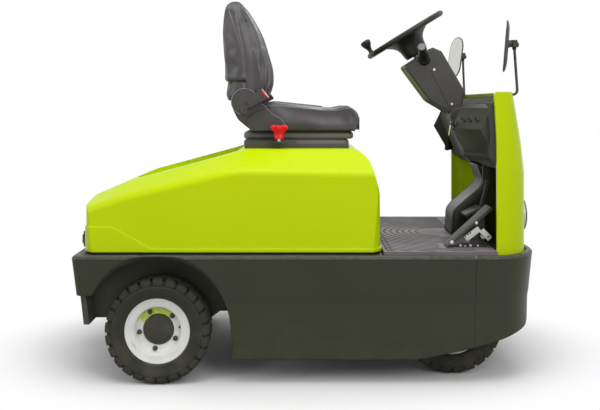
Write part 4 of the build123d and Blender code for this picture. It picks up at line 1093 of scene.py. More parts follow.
def lay_on_side(piece, path, side, sink=0.0):
    """Moves a path along Y onto the outer surface of a pad."""
    bm = bmesh.new()
    bm.from_mesh(piece.data)
    tree = BVHTree.FromBMesh(bm)
    bm.free()
    laid = []
    for point in path:
        hit = tree.ray_cast(Vector((point.x, side * 0.6, point.z)), Vector((0, -side, 0)))
        if hit[0] is not None:
            laid.append(hit[0] - Vector((0, side * sink, 0)))
    return laid


def bell(distance, width):
    return exp(-((distance / width) ** 2))


def seam(distance):
    """How deep a seam pulls the cover in, at a distance from it."""
    return seam_depth * bell(distance, seam_width)


print("seams are", seam_depth * 1000, "mm deep")

# %% [markdown]
# The cushion has a flat sewn middle between two side bolsters, and a cross seam before the raised front.
# It rests flat on the seat pan, so its lowest points are held while it swells.

# %% The cushion
cushion = foam_pad("seat_cushion", "cushion_pad", 8)
front_round_top = 0.972
front_round_height = 0.056
front_start_x = 0.130
front_length = 0.110
front_pull = 0.016
insert_half = 0.135
cross_seam_x = 0.105


def round_front(place, normal):
    """Rounds the pad's lower front edge, as foam under a tight cover is."""
    low = share_of(front_round_top - place.z, 0.0, front_round_height)
    front = max(0.0, (place.x - front_start_x) / front_length)
    return place - Vector((front_pull * low * low * front, 0, 0))


def sew_cushion(place, normal):
    """Sinks the seams of the top and dishes the sewn middle a little."""
    if normal.z < 0.4:
        return place
    depth = 0.0
    if place.x < cross_seam_x + 0.002:
        depth += seam(abs(place.y) - insert_half)
    if abs(place.y) < insert_half:
        depth += seam(place.x - cross_seam_x)
        if place.x < cross_seam_x:
            rest = min(insert_half - abs(place.y), cross_seam_x - place.x, 0.03) / 0.03
            depth -= 0.004 * rest * (1 - rest) * 4
    return place - normal * depth


move_points(cushion, round_front)
move_points(cushion, sew_cushion)
finish_pad(cushion, "hood", "seat_cushion")
print("cushion faces:", len(cushion.data.polygons))

# %% [markdown]
# The backrest is a curved shell with a padded front. Seen from the side, a seam divides the smooth rear
# panel from the bolster, and a line of piping runs down the bolster's edge. The rear panel ends above the
# recliner in a deep fold.

# %% The backrest
backrest = foam_pad("seat_backrest", "backrest_pad", 6)
side_seam = smooth_path([
    (-0.246, 0, 1.425), (-0.240, 0, 1.390), (-0.224, 0, 1.295), (-0.206, 0, 1.216), (-0.200, 0, 1.110),
    (-0.199, 0, 1.020)], 24)
piping_line = smooth_path([
    (-0.226, 0, 1.408), (-0.210, 0, 1.380), (-0.185, 0, 1.3385), (-0.161, 0, 1.283), (-0.145, 0, 1.224),
    (-0.1385, 0, 1.1766), (-0.1350, 0, 1.121), (-0.1335, 0, 1.060)], 24)
to_seam = nearness(side_seam)
to_piping = nearness(piping_line)
fold_height = 1.104
front_seam_y = 0.112
front_top_seam = 1.318
front_low_seam = 1.205


def sew_backrest(place, normal):
    """Sinks the seams, hollows the panel between them and tucks the rear panel in at its foot."""
    depth = 0.0
    if abs(normal.y) > 0.35:
        flat = Vector((place.x, 0, place.z))
        from_seam, from_piping = to_seam(flat), to_piping(flat)
        depth += seam_depth * bell(from_seam, 0.0045) + 0.0030 * bell(from_piping, 0.0060)
        between = from_seam + from_piping
        if between < 0.085:
            depth += 0.0060 * (1 - abs(from_seam - from_piping) / max(between, 0.001)) * abs(normal.y)
    if place.x < -0.2 and abs(normal.z) < 0.6:
        below = fold_height - place.z
        depth += 0.0085 * share_of(below, 0.0, 0.006) * share_of(1.2 - below / 0.05, 0.0, 1.0)
        depth -= 0.0020 * bell(place.z - fold_height - 0.010, 0.010)
    if normal.x > 0.35:
        if place.z < front_top_seam + 0.003:
            depth += seam(abs(place.y) - front_seam_y)
        if abs(place.y) < front_seam_y:
            depth += seam(place.z - front_top_seam)
            depth += 0.0030 * bell(place.z - front_low_seam, seam_width)
    return place - normal * depth


move_points(backrest, sew_backrest)
finish_pad(backrest, "backrest", "seat_backrest")
sides = ((-1, "right"), (1, "left"))
for side, side_name in sides:
    piping = tube("backrest_piping_" + side_name, lay_on_side(backrest, piping_line, side, 0.0004), 0.0028)
    adopt(piping, "backrest", "seat_vinyl", "piping")
print("backrest faces:", len(backrest.data.polygons))

# %% [markdown]
# The seat stands on its suspension, which a rubber bellows hides. Each of its two folds is a loop that
# goes out and comes in again, and bridges join the loops to one closed skin.

# %% The bellows
fold_rows = [
    # height, how far in from the outermost fold; the upper fold reaches further to the front
    (0.8405, 0.009), (0.8440, 0.0025), (0.8520, 0.0), (0.8620, 0.0), (0.8690, 0.0025), (0.8722, 0.009),
    (0.8728, 0.016), (0.8736, 0.009), (0.8765, 0.0025), (0.8840, 0.0), (0.8930, 0.0005), (0.9000, 0.004),
    (0.9045, 0.012),
]
bellows_x = (-0.212, 0.203)
bellows_half = 0.200
bellows_corner = 0.03
front_reach = 0.018
upper_fold_from = 0.8731


def outline_loop(bm, size, x, height, corner, steps=6):
    """A loop of edges round a rectangle with round corners, at one height. X is its middle."""
    verts = bmesh.ops.create_grid(bm, x_segments=1, y_segments=1, size=0.5)["verts"]
    bmesh.ops.scale(bm, verts=verts, vec=(size[0], size[1], 1))
    bmesh.ops.translate(bm, verts=verts, vec=(x, 0, height))
    bmesh.ops.bevel(bm, geom=verts, affect="VERTICES", offset=corner, segments=steps, profile=0.5, material=-1)
    faces = [face for face in bm.faces if all(abs(v.co.z - height) < 1e-7 for v in face.verts)]
    edges = [edge for face in faces for edge in face.edges]
    bmesh.ops.delete(bm, geom=faces, context="FACES_ONLY")
    return edges


def bridge_all(bm, loops):
    """Joins loops one after the other, and closes both ends."""
    for first, second in zip(loops, loops[1:]):
        bmesh.ops.bridge_loops(bm, edges=first + second)
    bmesh.ops.edgeloop_fill(bm, edges=loops[0])
    bmesh.ops.edgeloop_fill(bm, edges=loops[-1])


bm = bmesh.new()
loops = []
for height, inset in fold_rows:
    rear = bellows_x[0] + inset
    front = bellows_x[1] - inset + (front_reach if height > upper_fold_from else 0.0)
    size = (front - rear, 2 * (bellows_half - inset))
    loops.append(outline_loop(bm, size, (rear + front) / 2, height, bellows_corner))
bridge_all(bm, loops)
bmesh.ops.recalc_face_normals(bm, faces=bm.faces)
bellows = dress(bm, "bellows_skin", "hood", "seat_vinyl", "bellows", None, "seat_bellows")
print("bellows faces:", len(bellows.data.polygons))

# %% [markdown]
# Moulded plastic and pressed steel never have knife edges. Several pieces of the construction model are
# cut from flat faces, so a copy of each is cleaned to its true faces, and its edges are rounded by a bevel
# of the piece's own size. A small rounding needs fewer steps than a large one. The copy then stands for
# the node.

# %% Rounded copies
rounded_rows = [
    # node, body, slot, finish, size of the rounding in mm, least angle
    ("column_cover", "chassis", "black_plastic", "cover_plastic", 9.0, 20),
    ("dash", "chassis", "black_plastic", "dash_black", 7.0, 20),
    ("accelerator_pedal", "chassis", "black_plastic", "pedal_grey", 1.6, 25),
    ("brake_pedal", "chassis", "black_plastic", "pedal_grey", 1.4, 25),
    ("accelerator_sensor", "chassis", "sensor_grey", "sensor_grey", 1.2, 25),
    ("slide_lever", "hood", "black_plastic", "black_plastic", 1.6, 25),
    ("belt_buckles", "hood", "black_plastic", "black_plastic", 2.2, 25),
    ("recliner_covers", "hood", "black_plastic", "black_plastic", 2.0, 25),
    ("seat_rails", "hood", "frame_black", "rail_grey", 1.2, 25),
    ("tail_lamp_housings", "hood", "black_plastic", "black_plastic", 2.0, 25),
    ("tow_coupling", "chassis", "frame_black", "frame_black", 2.0, 25),
]
small_rounding = 4.0


def rounded_copy(node_name, size, least_degrees):
    """A cleaned copy of a node with rounded edges."""
    bm = merged_copy(node_name, 0.00005)
    bmesh.ops.dissolve_limit(bm, angle_limit=radians(1.0), verts=bm.verts, edges=bm.edges)
    bmesh.ops.bevel(
        bm, geom=sharp_edges(bm, least_degrees), offset=size * mm, segments=3 if size < small_rounding else 5,
        profile=0.5, affect="EDGES", material=-1, clamp_overlap=True)
    bmesh.ops.triangulate(bm, faces=[face for face in bm.faces if len(face.verts) > 4])
    return bm


for node_name, body, slot_name, finish, size, least in rounded_rows:
    dress(rounded_copy(node_name, size, least), node_name + "_rounded", body, slot_name, finish, 30, node_name)
print("rounded copies:", len(rounded_rows))

# %% [markdown]
# The shroud round the foot of the column is blow moulded, with no edge left sharp anywhere. A bevel can't
# round a shape that turns in two ways at once, so a copy of it is cut into even cells and smoothed, and then
# stretched back to the size of the solid.

# %% The pedestal
pedestal = skin_of("pedestal", "soft_pedestal", 0.008)
melt = pedestal.modifiers.new("melt", "SMOOTH")
melt.factor = 0.5
melt.iterations = 28
apply_modifiers(pedestal)
fit_to(pedestal, *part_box("pedestal"))
shade(pedestal.data)
adopt(pedestal, "chassis", "black_plastic", "deep_black")
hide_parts("pedestal")
print("pedestal faces:", len(pedestal.data.polygons))

# %% [markdown]
# The steering wheel stands on a tilted column. It is easier to build it flat and then to tilt it, so a
# matrix gives the wheel's own frame: its Z axis runs down the column, and its X axis points to the left of
# the machine.

# %% The frame of the steering wheel
wheel_middle = Vector((0.448, 0.0, 1.300))
column_tilt = radians(31.6)
down_column = Vector((sin(column_tilt), 0, -cos(column_tilt)))
across_column = Vector((cos(column_tilt), 0, sin(column_tilt)))
wheel_axes = Matrix((Vector((0, 1, 0)), across_column, down_column)).transposed().to_4x4()
wheel_frame = Matrix.Translation(wheel_middle) @ wheel_axes


def join_into(target, source):
    """Adds one mesh under construction to another."""
    holder = bpy.data.meshes.new("part")
    source.to_mesh(holder)
    source.free()
    target.from_mesh(holder)
    bpy.data.meshes.remove(holder)


print("the column points down along", [round(v, 2) for v in down_column])

# %% [markdown]
# The wheel is moulded in one: a rim, a hub that opens like a trumpet, and three flat spokes. The rim and the
# trumpet are spun. A spoke is a block that is narrower at the rim and rounded all round.

# %% The steering wheel
rim_ring_radius = 167.5
rim_tube_radius = 12.5
rim_flatness = 0.92
trumpet_rows = [
    # radius, how far down the column
    (0.01, -10), (24, -10), (28, -8.5), (31, -5), (56, -4.5), (84, -3), (95, 0), (98.5, 5), (97, 10),
    (88, 16.5), (77, 24), (67, 33), (60, 43), (55.5, 55), (53, 70), (51.5, 84), (49, 92), (46, 97), (20.5, 97),
    (20.5, 30), (0.01, 30),
]
spoke_size = Vector((84, 38, 9)) * mm
spoke_middle = Vector((126, 0, 6.5)) * mm
spoke_narrowing = 0.72
spoke_rounding = 3.2 * mm


def make_spoke(turn):
    spoke = bmesh.new()
    bmesh.ops.create_cube(spoke, size=1.0)
    bmesh.ops.scale(spoke, verts=spoke.verts, vec=spoke_size)
    bmesh.ops.translate(spoke, verts=spoke.verts, vec=spoke_middle)
    narrow = [vert for vert in spoke.verts if vert.co.x > spoke_middle.x]
    bmesh.ops.scale(spoke, verts=narrow, vec=(1, spoke_narrowing, 1))
    bmesh.ops.bevel(spoke, geom=spoke.edges[:], offset=spoke_rounding, segments=3, profile=0.5, affect="EDGES",
                    material=-1)
    bmesh.ops.transform(spoke, verts=spoke.verts, matrix=Matrix.Rotation(turn, 4, "Z"))
    return spoke


def make_steering_wheel():
    circle = [(rim_ring_radius + rim_tube_radius * cos(tau * k / 20),
               rim_tube_radius * sin(tau * k / 20) * rim_flatness) for k in range(20)]
    bm = spun(circle, 96)
    trumpet = spun(trumpet_rows, 64, close=False)
    soften(trumpet, 30, 0.8 * mm, 2)
    join_into(bm, trumpet)
    bmesh.ops.transform(bm, verts=bm.verts, matrix=Matrix.Rotation(pi / 2, 4, "X"))
    for count in range(3):
        join_into(bm, make_spoke(radians(90 + 120 * count)))
    bmesh.ops.recalc_face_normals(bm, faces=bm.faces)
    bmesh.ops.transform(bm, verts=bm.verts, matrix=wheel_frame)
    return bm


steering = dress(make_steering_wheel(), "moulded_steering_wheel", "steering_wheel", "black_plastic", "deep_black",
                 32, "steering_wheel")
print("steering wheel faces:", len(steering.data.polygons))

# %% [markdown]
# The knob on the rim lets the driver turn the wheel with one hand. It is spun like a small mushroom, and its
# head is then drawn in between its lobes, so that it can be gripped.

# %% The spinner knob
knob_rows = [
    # radius, height over the middle of the rim's tube
    (0.01, 2), (11, 2), (12, 8), (10, 13), (8.2, 19), (9.5, 27), (13.5, 35), (18, 42), (21.5, 50), (23, 56),
    (22.5, 61), (18, 65), (10, 67.2), (0.01, 67.8),
]
knob_circle = 158.0
knob_lobes = 6
knob_lobe_depth = 0.10


def make_spinner():
    bm = spun(knob_rows, 60, close=False)
    for vert in bm.verts:
        share = share_of(vert.co.y / mm, 30, 8)
        wave = 1 - knob_lobe_depth * share * (1 - cos(knob_lobes * atan2(vert.co.z, vert.co.x)))
        vert.co = (vert.co.x * wave, vert.co.y, vert.co.z * wave)
    stand = Matrix.Translation((0, -knob_circle * mm, 0)) @ Matrix.Rotation(-pi / 2, 4, "X")
    bmesh.ops.transform(bm, verts=bm.verts, matrix=wheel_frame @ stand)
    bmesh.ops.recalc_face_normals(bm, faces=bm.faces)
    return bm


spinner = dress(make_spinner(), "lobed_spinner_knob", "steering_wheel", "black_plastic", "deep_black", None,
                "spinner_knob")
print("spinner knob faces:", len(spinner.data.polygons))

# %% [markdown]
# The column carries a direction lever in a sleeve that rises towards the driver's right hand. The lever is a
# few short posts, each drawn from one point to another, and its cap is of a paler plastic.

# %% The direction lever
lever_foot = Vector((0.519, -0.064, 1.190))
lever_tip = Vector((0.494, -0.158, 1.238))


def post_between(bm, start, end, radius, top_radius, segments=28):
    """A round post from one point to another."""
    along = end - start
    turn = along.to_track_quat("Z", "Y").to_matrix().to_4x4()
    return add_disc(bm, radius, along.length, turn, start, segments, top_radius)


lever_way = (lever_tip - lever_foot).normalized()
bm = bmesh.new()
post_between(bm, lever_foot, lever_foot + lever_way * 0.016, 0.0250, 0.0225)
post_between(bm, lever_foot + lever_way * 0.010, lever_tip, 0.0205, 0.0180)
soften(bm, 40, 1.8 * mm, 3)
dress(bm, "direction_lever_sleeve", "chassis", "black_plastic", "deep_black", 35, "direction_lever")
bm = bmesh.new()
post_between(bm, lever_tip - lever_way * 0.002, lever_tip + lever_way * 0.003, 0.0165, 0.0155)
soften(bm, 40, 1.2 * mm, 3)
dress(bm, "direction_lever_cap", "chassis", "black_plastic", "cap_grey")
print("lever length:", round((lever_tip - lever_foot).length / mm), "mm")

# %% [markdown]
# Pan head screws hold the two halves of the column's cover together along a joint line, and the same bright
# screws hold the accelerator. Each is a washer and a domed head. The joint is a thin dark cord in the cover.

# %% Screws and the joint of the cover
screw_rows = [
    # place, which way it faces, radius in mm
    ((0.558, -0.070, 1.152), "right", 5.0), ((0.6306, -0.070, 1.011), "right", 5.0),
    ((0.558, 0.070, 1.152), "left", 5.0), ((0.6306, 0.070, 1.011), "left", 5.0),
    ((0.604, -0.3705, 0.487), "right", 4.0), ((0.641, -0.3705, 0.487), "right", 4.5),
    ((0.5723, -0.3705, 0.499), "right", 7.0), ((0.663, -0.3705, 0.571), "right", 5.5),
    ((0.622, -0.3705, 0.485), "right", 3.2), ((0.668, -0.3705, 0.486), "right", 3.6),
]
outward = {"right": Matrix.Rotation(pi / 2, 4, "X"), "left": Matrix.Rotation(-pi / 2, 4, "X")}
joint_points = smooth_path([(0.541, 1.150), (0.564, 1.1075), (0.590, 1.056), (0.616, 1.003), (0.628, 0.985)], 6)
joint_y = 0.0697
joint_radius = 0.0009


def on_side(points, y):
    """Points of a side view as places on one side of the machine."""
    return [Vector((x, y, z)) for x, z in points]


bm = bmesh.new()
for place, way, radius in screw_rows:
    add_disc(bm, radius * mm, 1.2 * mm, outward[way], place, 24)
    add_disc(bm, radius * 0.82 * mm, 2.6 * mm, outward[way], place, 24, radius * 0.5 * mm)
dress(bm, "bright_screws", "chassis", "bare_steel", "bright_zinc", 40)
for side, side_name in sides:
    joint = tube("column_joint_" + side_name, on_side(joint_points, side * joint_y), joint_radius)
    adopt(joint, "chassis", "seal_rubber")
print("screws:", len(screw_rows))

# %% [markdown]
# The accelerator works a sensor through a short pale arm, with dark marks on the sensor's face. The brake
# pedal has a thick rubber pad. Such small plates are blocks with rounded edges, turned and put in place.

# %% On the pedals


def small_plate(name, size, turn, place, rounding, body, slot_name, finish=None):
    """A small plate with rounded edges, turned and placed."""
    bm = bmesh.new()
    bmesh.ops.create_cube(bm, size=1.0)
    bmesh.ops.scale(bm, verts=bm.verts, vec=size)
    bmesh.ops.bevel(bm, geom=bm.edges[:], offset=rounding, segments=2, profile=0.5, affect="EDGES", material=-1)
    bmesh.ops.transform(bm, verts=bm.verts, matrix=Matrix.Translation(place) @ turn)
    return dress(bm, name, body, slot_name, finish)


def leaning(angle):
    """A turn that leans a plate in the side view."""
    return Matrix.Rotation(radians(angle), 4, "Y")


small_plate("sensor_arm", (0.046, 0.0040, 0.021), leaning(46), (0.6975, -0.3722, 0.5275), 0.0018, "chassis",
            "sensor_grey")
mark_radius = 3.4 * mm
bm = bmesh.new()
for along in (-0.021, -0.007, 0.007, 0.018):
    place = (0.6272 + along * 0.75, -0.3712, 0.5240 + along * 0.55)
    add_disc(bm, mark_radius, 0.7 * mm, outward["right"], place, 4)
add_disc(bm, mark_radius, 2.6 * mm, outward["right"], (0.7055, -0.3722, 0.5200), 16)
marks = link_object("sensor_marks", mesh_from(bm, "sensor_marks"))
adopt(marks, "chassis", "black_plastic", "deep_black")
small_plate("brake_pad_rubber", (0.074, 0.096, 0.013), leaning(-25), (0.690, -0.165, 0.588), 0.0035, "chassis",
            "black_plastic", "pedal_grey")
print("sensor marks:", len(marks.data.polygons), "faces")

# %% [markdown]
# The dash has toggle switches and a lock on the driver's right. They stand square on its slanted face, so one
# turn, made from the direction in which that face looks, serves them all.

# %% Switches and the lock
dash_face = Vector((-0.86, -0.30, 0.41)).normalized()
dash_turn = dash_face.to_track_quat("Z", "Y").to_matrix().to_4x4()
switch_places = [(0.6561, -0.3102, 0.9481), (0.6720, -0.3546, 0.9489), (0.6400, -0.268, 0.948)]
key_place = Vector((0.6150, -0.2200, 0.9310))
bm = bmesh.new()
for place in map(Vector, switch_places):
    lever_top = place + dash_face * 0.017 + Vector((0, 0, 0.004))
    add_disc(bm, 7.0 * mm, 2.5 * mm, dash_turn, place, 6)
    add_disc(bm, 5.0 * mm, 5.0 * mm, dash_turn, place, 20)
    post_between(bm, place + dash_face * 0.004, lever_top, 0.0018, 0.0032, 12)
add_disc(bm, 13.0 * mm, 5.0 * mm, dash_turn, key_place, 28, 11.5 * mm)
add_disc(bm, 8.5 * mm, 8.0 * mm, dash_turn, key_place, 24)
dress(bm, "dash_switches", "chassis", "black_plastic", "deep_black")
print("switches:", len(switch_places))

# %% [markdown]
# The key stands in the lock, and its tag hangs below on a small wire ring.

# %% The key and its tag
key_end = key_place + dash_face * 0.026
ring_radius = 0.007
ring_path = [key_end + Vector((0, ring_radius * cos(tau * k / 20), ring_radius * sin(tau * k / 20) - 0.005))
             for k in range(20)]
small_plate("ignition_key", (0.0022, 0.020, 0.022), dash_turn, key_place + dash_face * 0.019, 0.0009, "chassis",
            "black_plastic")
adopt(tube("key_ring", ring_path, 0.0008, closed=True), "chassis", "bare_steel", "bright_zinc")
small_plate("key_tag", (0.0024, 0.013, 0.040), leaning(8), key_end + Vector((-0.002, 0, -0.033)), 0.0010,
            "chassis", "sensor_grey", "tag_yellow")
print("key tag hangs at", [round(v, 3) for v in key_end])

# %% [markdown]
# The mirrors turn inwards to the driver. The right one is seen edge on, and the left one shows its glass.
# Each shell is a shallow dish: loops of one round outline step inwards towards its back, and bridges join
# them. The glass is a thin plate with the same outline.

# %% The mirrors
mirror_size = Vector((0.112, 0.194))
mirror_corner = 0.0545
mirror_middle_z = 1.226
shell_rows = [
    # how deep behind the glass, how far in from the outline
    (0.00060, 0.0044), (0.00001, 0.0032), (0.00002, 0.0008), (0.00143, 0.0), (0.00424, 0.0008),
    (0.00785, 0.0060), (0.01056, 0.0150), (0.01257, 0.0270), (0.01368, 0.0400),
]
glass_depth = -0.0004
glass_inset = 0.0042
glass_thickness = 0.0012
mirror_rows = [
    # x of the middle, y, turned in by, leaning forward by, x of the stalk
    (0.7705, -0.360, 14.7, 4.4, 0.806), (0.7280, 0.360, -20.4, 9.0, 0.765),
]


def mirror_loop(bm, depth, inset):
    return outline_loop(bm, mirror_size - Vector((2 * inset, 2 * inset)), 0.0, depth, mirror_corner - inset, 10)


def stand_up(bm, x, y, turned, lean):
    """Stands the flat outline up, faces it to the rear, leans it, turns it in and places it."""
    upright = Matrix(((0, 0, 1, 0), (1, 0, 0, 0), (0, 1, 0, 0), (0, 0, 0, 1)))
    turn = Matrix.Rotation(radians(-turned), 4, "Z") @ leaning(lean) @ upright
    bmesh.ops.transform(bm, verts=bm.verts, matrix=Matrix.Translation((x, y, mirror_middle_z)) @ turn)
    bmesh.ops.recalc_face_normals(bm, faces=bm.faces)


def make_shell():
    shell = bmesh.new()
    bridge_all(shell, [mirror_loop(shell, depth, inset) for depth, inset in shell_rows])
    add_disc(shell, 0.0135, 0.008, Matrix.Identity(4), (0, 0.009, 0.0125), 24, 0.011)
    return shell


def make_pane():
    pane = bmesh.new()
    filled = bmesh.ops.edgeloop_fill(pane, edges=mirror_loop(pane, glass_depth, glass_inset))
    raised = bmesh.ops.extrude_face_region(pane, geom=filled["faces"])
    bmesh.ops.translate(pane, verts=points_of(raised), vec=(0, 0, glass_thickness))
    return pane


shells, panes = bmesh.new(), bmesh.new()
for x, y, turned, lean, stalk_x in mirror_rows:
    for made, target in ((make_shell(), shells), (make_pane(), panes)):
        stand_up(made, x, y, turned, lean)
        join_into(target, made)
dress(shells, "mirror_shells", "chassis", "black_plastic", None, 40, "mirror_housings")
dress(panes, "mirror_panes", "chassis", "mirror_glass", None, 40, "mirror_glasses")
print("mirrors:", len(mirror_rows))

# %% [markdown]
# A ball joint, a clamp and one bolt hold each mirror on its stalk. The bolt is plated yellow, and passes
# through the clamp.

# %% Mirror clamps and bolts
bm, bolts = bmesh.new(), bmesh.new()
for x, y, turned, lean, stalk_x in mirror_rows:
    joint = Vector((x + 0.018, y, 1.228))
    stalk = Vector((stalk_x, y, 1.229))
    post_between(bm, joint + Vector((-0.006, 0, 0)), joint + Vector((0.001, 0, 0)), 0.0095, 0.0080)
    post_between(bm, stalk + Vector((-0.009, 0, 0)), stalk + Vector((0.013, 0, 0.004)), 0.0090, 0.0120)
    post_between(bm, stalk + Vector((0, 0, -0.017)), stalk + Vector((0, 0, 0.017)), 0.0075, 0.0085, 12)
    post_between(bolts, joint + Vector((-0.002, 0, 0)), stalk + Vector((0.018, 0, 0.003)), 0.0044, 0.0036, 12)
soften(bm, 40, 1.2 * mm, 2)
dress(bm, "mirror_clamps", "chassis", "black_plastic", "deep_black")
dress(bolts, "mirror_bolts", "chassis", "bare_steel", "yellow_zinc")
print("mirror bolts:", len(mirror_rows))

# %% [markdown]
# The knob that sets the seat to the driver's weight is bright red, with lobes like a crown over a short
# skirt. It is spun, drawn in between its lobes, and made narrower across than along, so that it stays clear
# of the recliner's cover. A hexagon stem shows below it.

# %% The weight knob
crown_rows = [
    # radius, height over the foot of the stem
    (0.01, 9), (16.5, 9.5), (18.5, 11.5), (19, 24), (20.5, 34), (29, 40), (34, 44), (36, 49.5), (35, 55),
    (31, 59), (20, 61), (0.01, 60),
]
crown_foot = Vector((-0.070, -0.2785, 0.8685))
crown_lobes = 7
crown_lobe_depth = 0.11
crown_rise = 2.2 * mm
crown_narrowing = 0.56
skirt_height = 17
crown_radius = 36 * mm
stem_radius = 0.0056
bm = spun(crown_rows, 70, close=False)
for vert in bm.verts:
    height = vert.co.y / mm
    share = share_of(height, 34, 8)
    swing = cos(crown_lobes * atan2(vert.co.z, vert.co.x))
    wave = 1 - crown_lobe_depth * share * (1 - swing)
    rise = crown_rise * share * swing * radius_of(vert.co) / crown_radius
    narrowing = crown_narrowing if height > skirt_height else 1.0
    vert.co = (vert.co.x * wave, vert.co.y + rise, vert.co.z * wave * narrowing)
bmesh.ops.transform(bm, verts=bm.verts, matrix=Matrix.Translation(crown_foot) @ Matrix.Rotation(pi / 2, 4, "X"))
bmesh.ops.recalc_face_normals(bm, faces=bm.faces)
dress(bm, "lobed_weight_knob", "hood", "knob_red", None, 50, "weight_knob")
bm = bmesh.new()
stem_foot, stem_top = crown_foot - Vector((0, 0, 0.001)), crown_foot + Vector((0, 0, 0.011))
post_between(bm, stem_foot, stem_top, stem_radius, stem_radius, 6)
dress(bm, "weight_knob_stem", "hood", "bare_steel", "bright_zinc")
print("weight knob lobes:", crown_lobes)

# %% [markdown]
# Both sides of the seat have a belt buckle with a red release, and a recliner under a moulded cover. A bright
# strip along the buckle's end is a painted highlight. The pale cords on the cover's rim and on the step of its
# plate are painted highlights, and the joint between its halves is a dark cord; these are thin cords that are
# sunk in it, and one dark bolt holds it.

# %% On the seat's sides
buckle_y = 0.2827
buckle_lean = Matrix.Rotation(atan2(0.035, 0.028), 4, "Y")
recliner_bolt = (-0.205, 0.987)
recliner_middle = (-0.203, 1.019)
recliner_radius = 0.0508
rim_turns = [radians(angle) for angle in range(20, 262, 11)]
rim_points = [(recliner_middle[0] + recliner_radius * cos(turn), recliner_middle[1] + recliner_radius * sin(turn))
              for turn in rim_turns]
edge_points = [(-0.127, 1.003), (-0.093, 0.9705), (-0.067, 0.9545), (-0.049, 0.9350), (-0.044, 0.9180)]
seam_points = [(-0.2000, 0.9340), (-0.1880, 0.9590), (-0.1605, 0.9805), (-0.1290, 0.9900)]
trim_rows = [
    # name, points, how far out, radius, finish
    # The two pale cords are painted highlights on the cover's rim and step; the third is the dark joint.
    ("recliner_rim_", rim_points, 0.2598, 0.0017, "light_edge"),
    ("recliner_edge_", smooth_path(edge_points, 6), 0.2540, 0.0015, "light_edge"),
    ("recliner_joint_", smooth_path(seam_points, 6), 0.2550, 0.0014, "deep_black"),
]
for side, side_name in sides:
    small_plate("buckle_release_" + side_name, (0.030, 0.0022, 0.0070), buckle_lean,
                (-0.1262, side * buckle_y, 1.0478), 0.0008, "hood", "knob_red")
    # A bright strip along the buckle's end, which is a painted highlight.
    small_plate("buckle_highlight_strip_" + side_name, (0.042, 0.0016, 0.0026), buckle_lean,
                (-0.1218, side * buckle_y, 1.0512), 0.0006, "hood", "sensor_grey", "bright_zinc")
    bm = bmesh.new()
    place = on_side([recliner_bolt], side * 0.2640)[0]
    add_disc(bm, 12.4 * mm, 2.2 * mm, outward[side_name], place, 32)
    add_disc(bm, 8.2 * mm, 3.6 * mm, outward[side_name], place, 6)
    soften(bm, 40, 0.5 * mm, 2)
    dress(bm, "recliner_bolt_" + side_name, "hood", "bare_steel", "dark_bolt")
    for name, points, out, radius, finish in trim_rows:
        adopt(tube(name + side_name, on_side(points, side * out), radius), "hood", "black_plastic", finish)
print("trim on each side:", len(trim_rows))

# %% [markdown]
# The floor mat is ribbed rubber. The ribs run in circles round the foot of the column, with two straight ones
# along its rear edge, and only the parts that lie free on the mat are made. The ribs are
# half sunk in the mat.

# %% Where the ribs run
rib_middle = (0.600, 0.0)
first_rib = 0.108
rib_spacing = 0.0260
rib_circles = 21
rib_step = 0.012
mat_x = (0.322, 0.716)
mat_half = 0.436
kept_free = [
    # x from, x to, y from, y to: what stands on the mat
    (0.585, 0.73, -0.115, 0.095), (0.540, 0.73, -0.385, -0.275), (0.655, 0.73, -0.440, 0.440),
]


def on_mat(x, y):
    if not (mat_x[0] < x < mat_x[1] and abs(y) < mat_half):
        return False
    return not any(low_x < x < high_x and low_y < y < high_y for low_x, high_x, low_y, high_y in kept_free)


def runs_on_mat(radius):
    """The parts of one circle that lie on the mat."""
    steps = int(tau * radius / rib_step)
    found, run = [], []
    for step in range(steps + 2):
        angle = pi + tau * step / steps
        x, y = rib_middle[0] + radius * cos(angle), rib_middle[1] + radius * sin(angle)
        if step <= steps and on_mat(x, y):
            run.append(Vector((x, y, 0.0)))
            continue
        if len(run) > 3:
            found.append(run)
        run = []
    return found


rib_runs = [run for count in range(rib_circles) for run in runs_on_mat(first_rib + count * rib_spacing)]
print("ribs:", len(rib_runs))

# %% [markdown]
# Every run becomes a tube. All tubes are joined to one mesh, which is then pressed flat in one step. The ribs
# are darker than the mat: their colour paints the shade of the grooves between them.

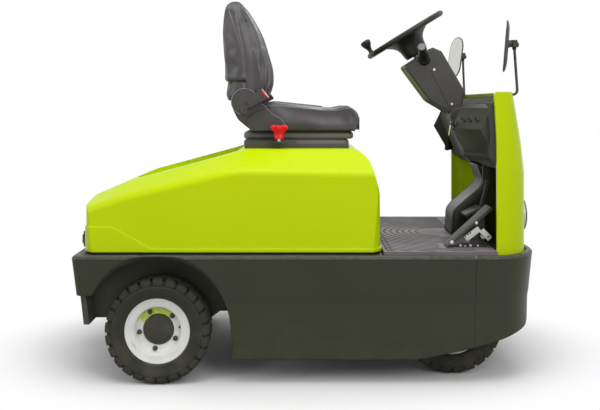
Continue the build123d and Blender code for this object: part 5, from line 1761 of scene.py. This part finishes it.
# %% The ribs of the mat
rib_radius = 0.0034
edge_rib_radius = 0.00272
rib_flatness = 0.42
mat_top = 0.478
edge_runs = [[Vector((mat_x[0] + inset, y, 0.0)) for y in (-mat_half, -0.2, 0.0, 0.2, mat_half)]
             for inset in (0.006, 0.022)]
ribs = bmesh.new()
for run, radius in [(run, rib_radius) for run in rib_runs] + [(run, edge_rib_radius) for run in edge_runs]:
    part = tube("rib", run, radius, 6)
    ribs.from_mesh(part.data)
    bpy.data.objects.remove(part)
bmesh.ops.scale(ribs, verts=ribs.verts, vec=(1, 1, rib_flatness))
bmesh.ops.translate(ribs, verts=ribs.verts, vec=(0, 0, mat_top))
mat_ribs = dress(ribs, "mat_ribs", "chassis", "mat_rubber", "rib_rubber", None)
print("rib faces:", len(mat_ribs.data.polygons))

# %% [markdown]
# A headlamp reads as a lamp by its raised ring and the domed glass inside it. Both are spun and stood up
# against the front of the cowl.

# %% The headlamps
lamp_place = Vector((0.857, 0.270, 0.590))
bezel_rows = [(62, 0), (62, 3.0), (59.5, 6.0), (55, 6.6), (52.5, 4.2), (51.5, 0)]
dome_rows = [(0.01, 6.8), (20, 6.2), (38, 4.2), (52, 0.9), (52, 0.2), (0.01, 0.2)]
bezels, lenses = bmesh.new(), bmesh.new()
for side in (-1, 1):
    place = Vector((lamp_place.x, side * lamp_place.y, lamp_place.z))
    facing_front = Matrix.Translation(place) @ Matrix.Rotation(-pi / 2, 4, "Z")
    for made, target in ((spun(bezel_rows, 64), bezels), (spun(dome_rows, 48, close=False), lenses)):
        bmesh.ops.transform(made, verts=made.verts, matrix=facing_front)
        bmesh.ops.recalc_face_normals(made, faces=made.faces)
        join_into(target, made)
dress(bezels, "headlamp_bezels", "chassis", "black_plastic")
dress(lenses, "headlamp_lenses", "chassis", "lamp_clear", "lamp_glass")
print("dome rows:", len(dome_rows))

# %% [markdown]
# The red lenses at the rear have upright ribs moulded into them, which scatter the light. One small block is
# made for each, and its edges are rounded.

# %% The ribs of the tail lamps
lens_rib_size = (0.0020, 0.0030, 0.0300)
lens_ribs_each = 9
lens_rib_pitch = 0.0075
lens_inner_y = 0.2765
bm = bmesh.new()
for side in (-1, 1):
    for count in range(lens_ribs_each):
        y = side * (lens_inner_y + lens_rib_pitch * (count + 0.5))
        made = bmesh.ops.create_cube(bm, size=1.0)
        bmesh.ops.scale(bm, verts=made["verts"], vec=lens_rib_size)
        bmesh.ops.translate(bm, verts=made["verts"], vec=(-0.8024, y, 0.5075))
soften(bm, 40, 0.0006, 2)
dress(bm, "tail_lamp_ribs", "hood", "lamp_red")
print("lens ribs:", 2 * lens_ribs_each)
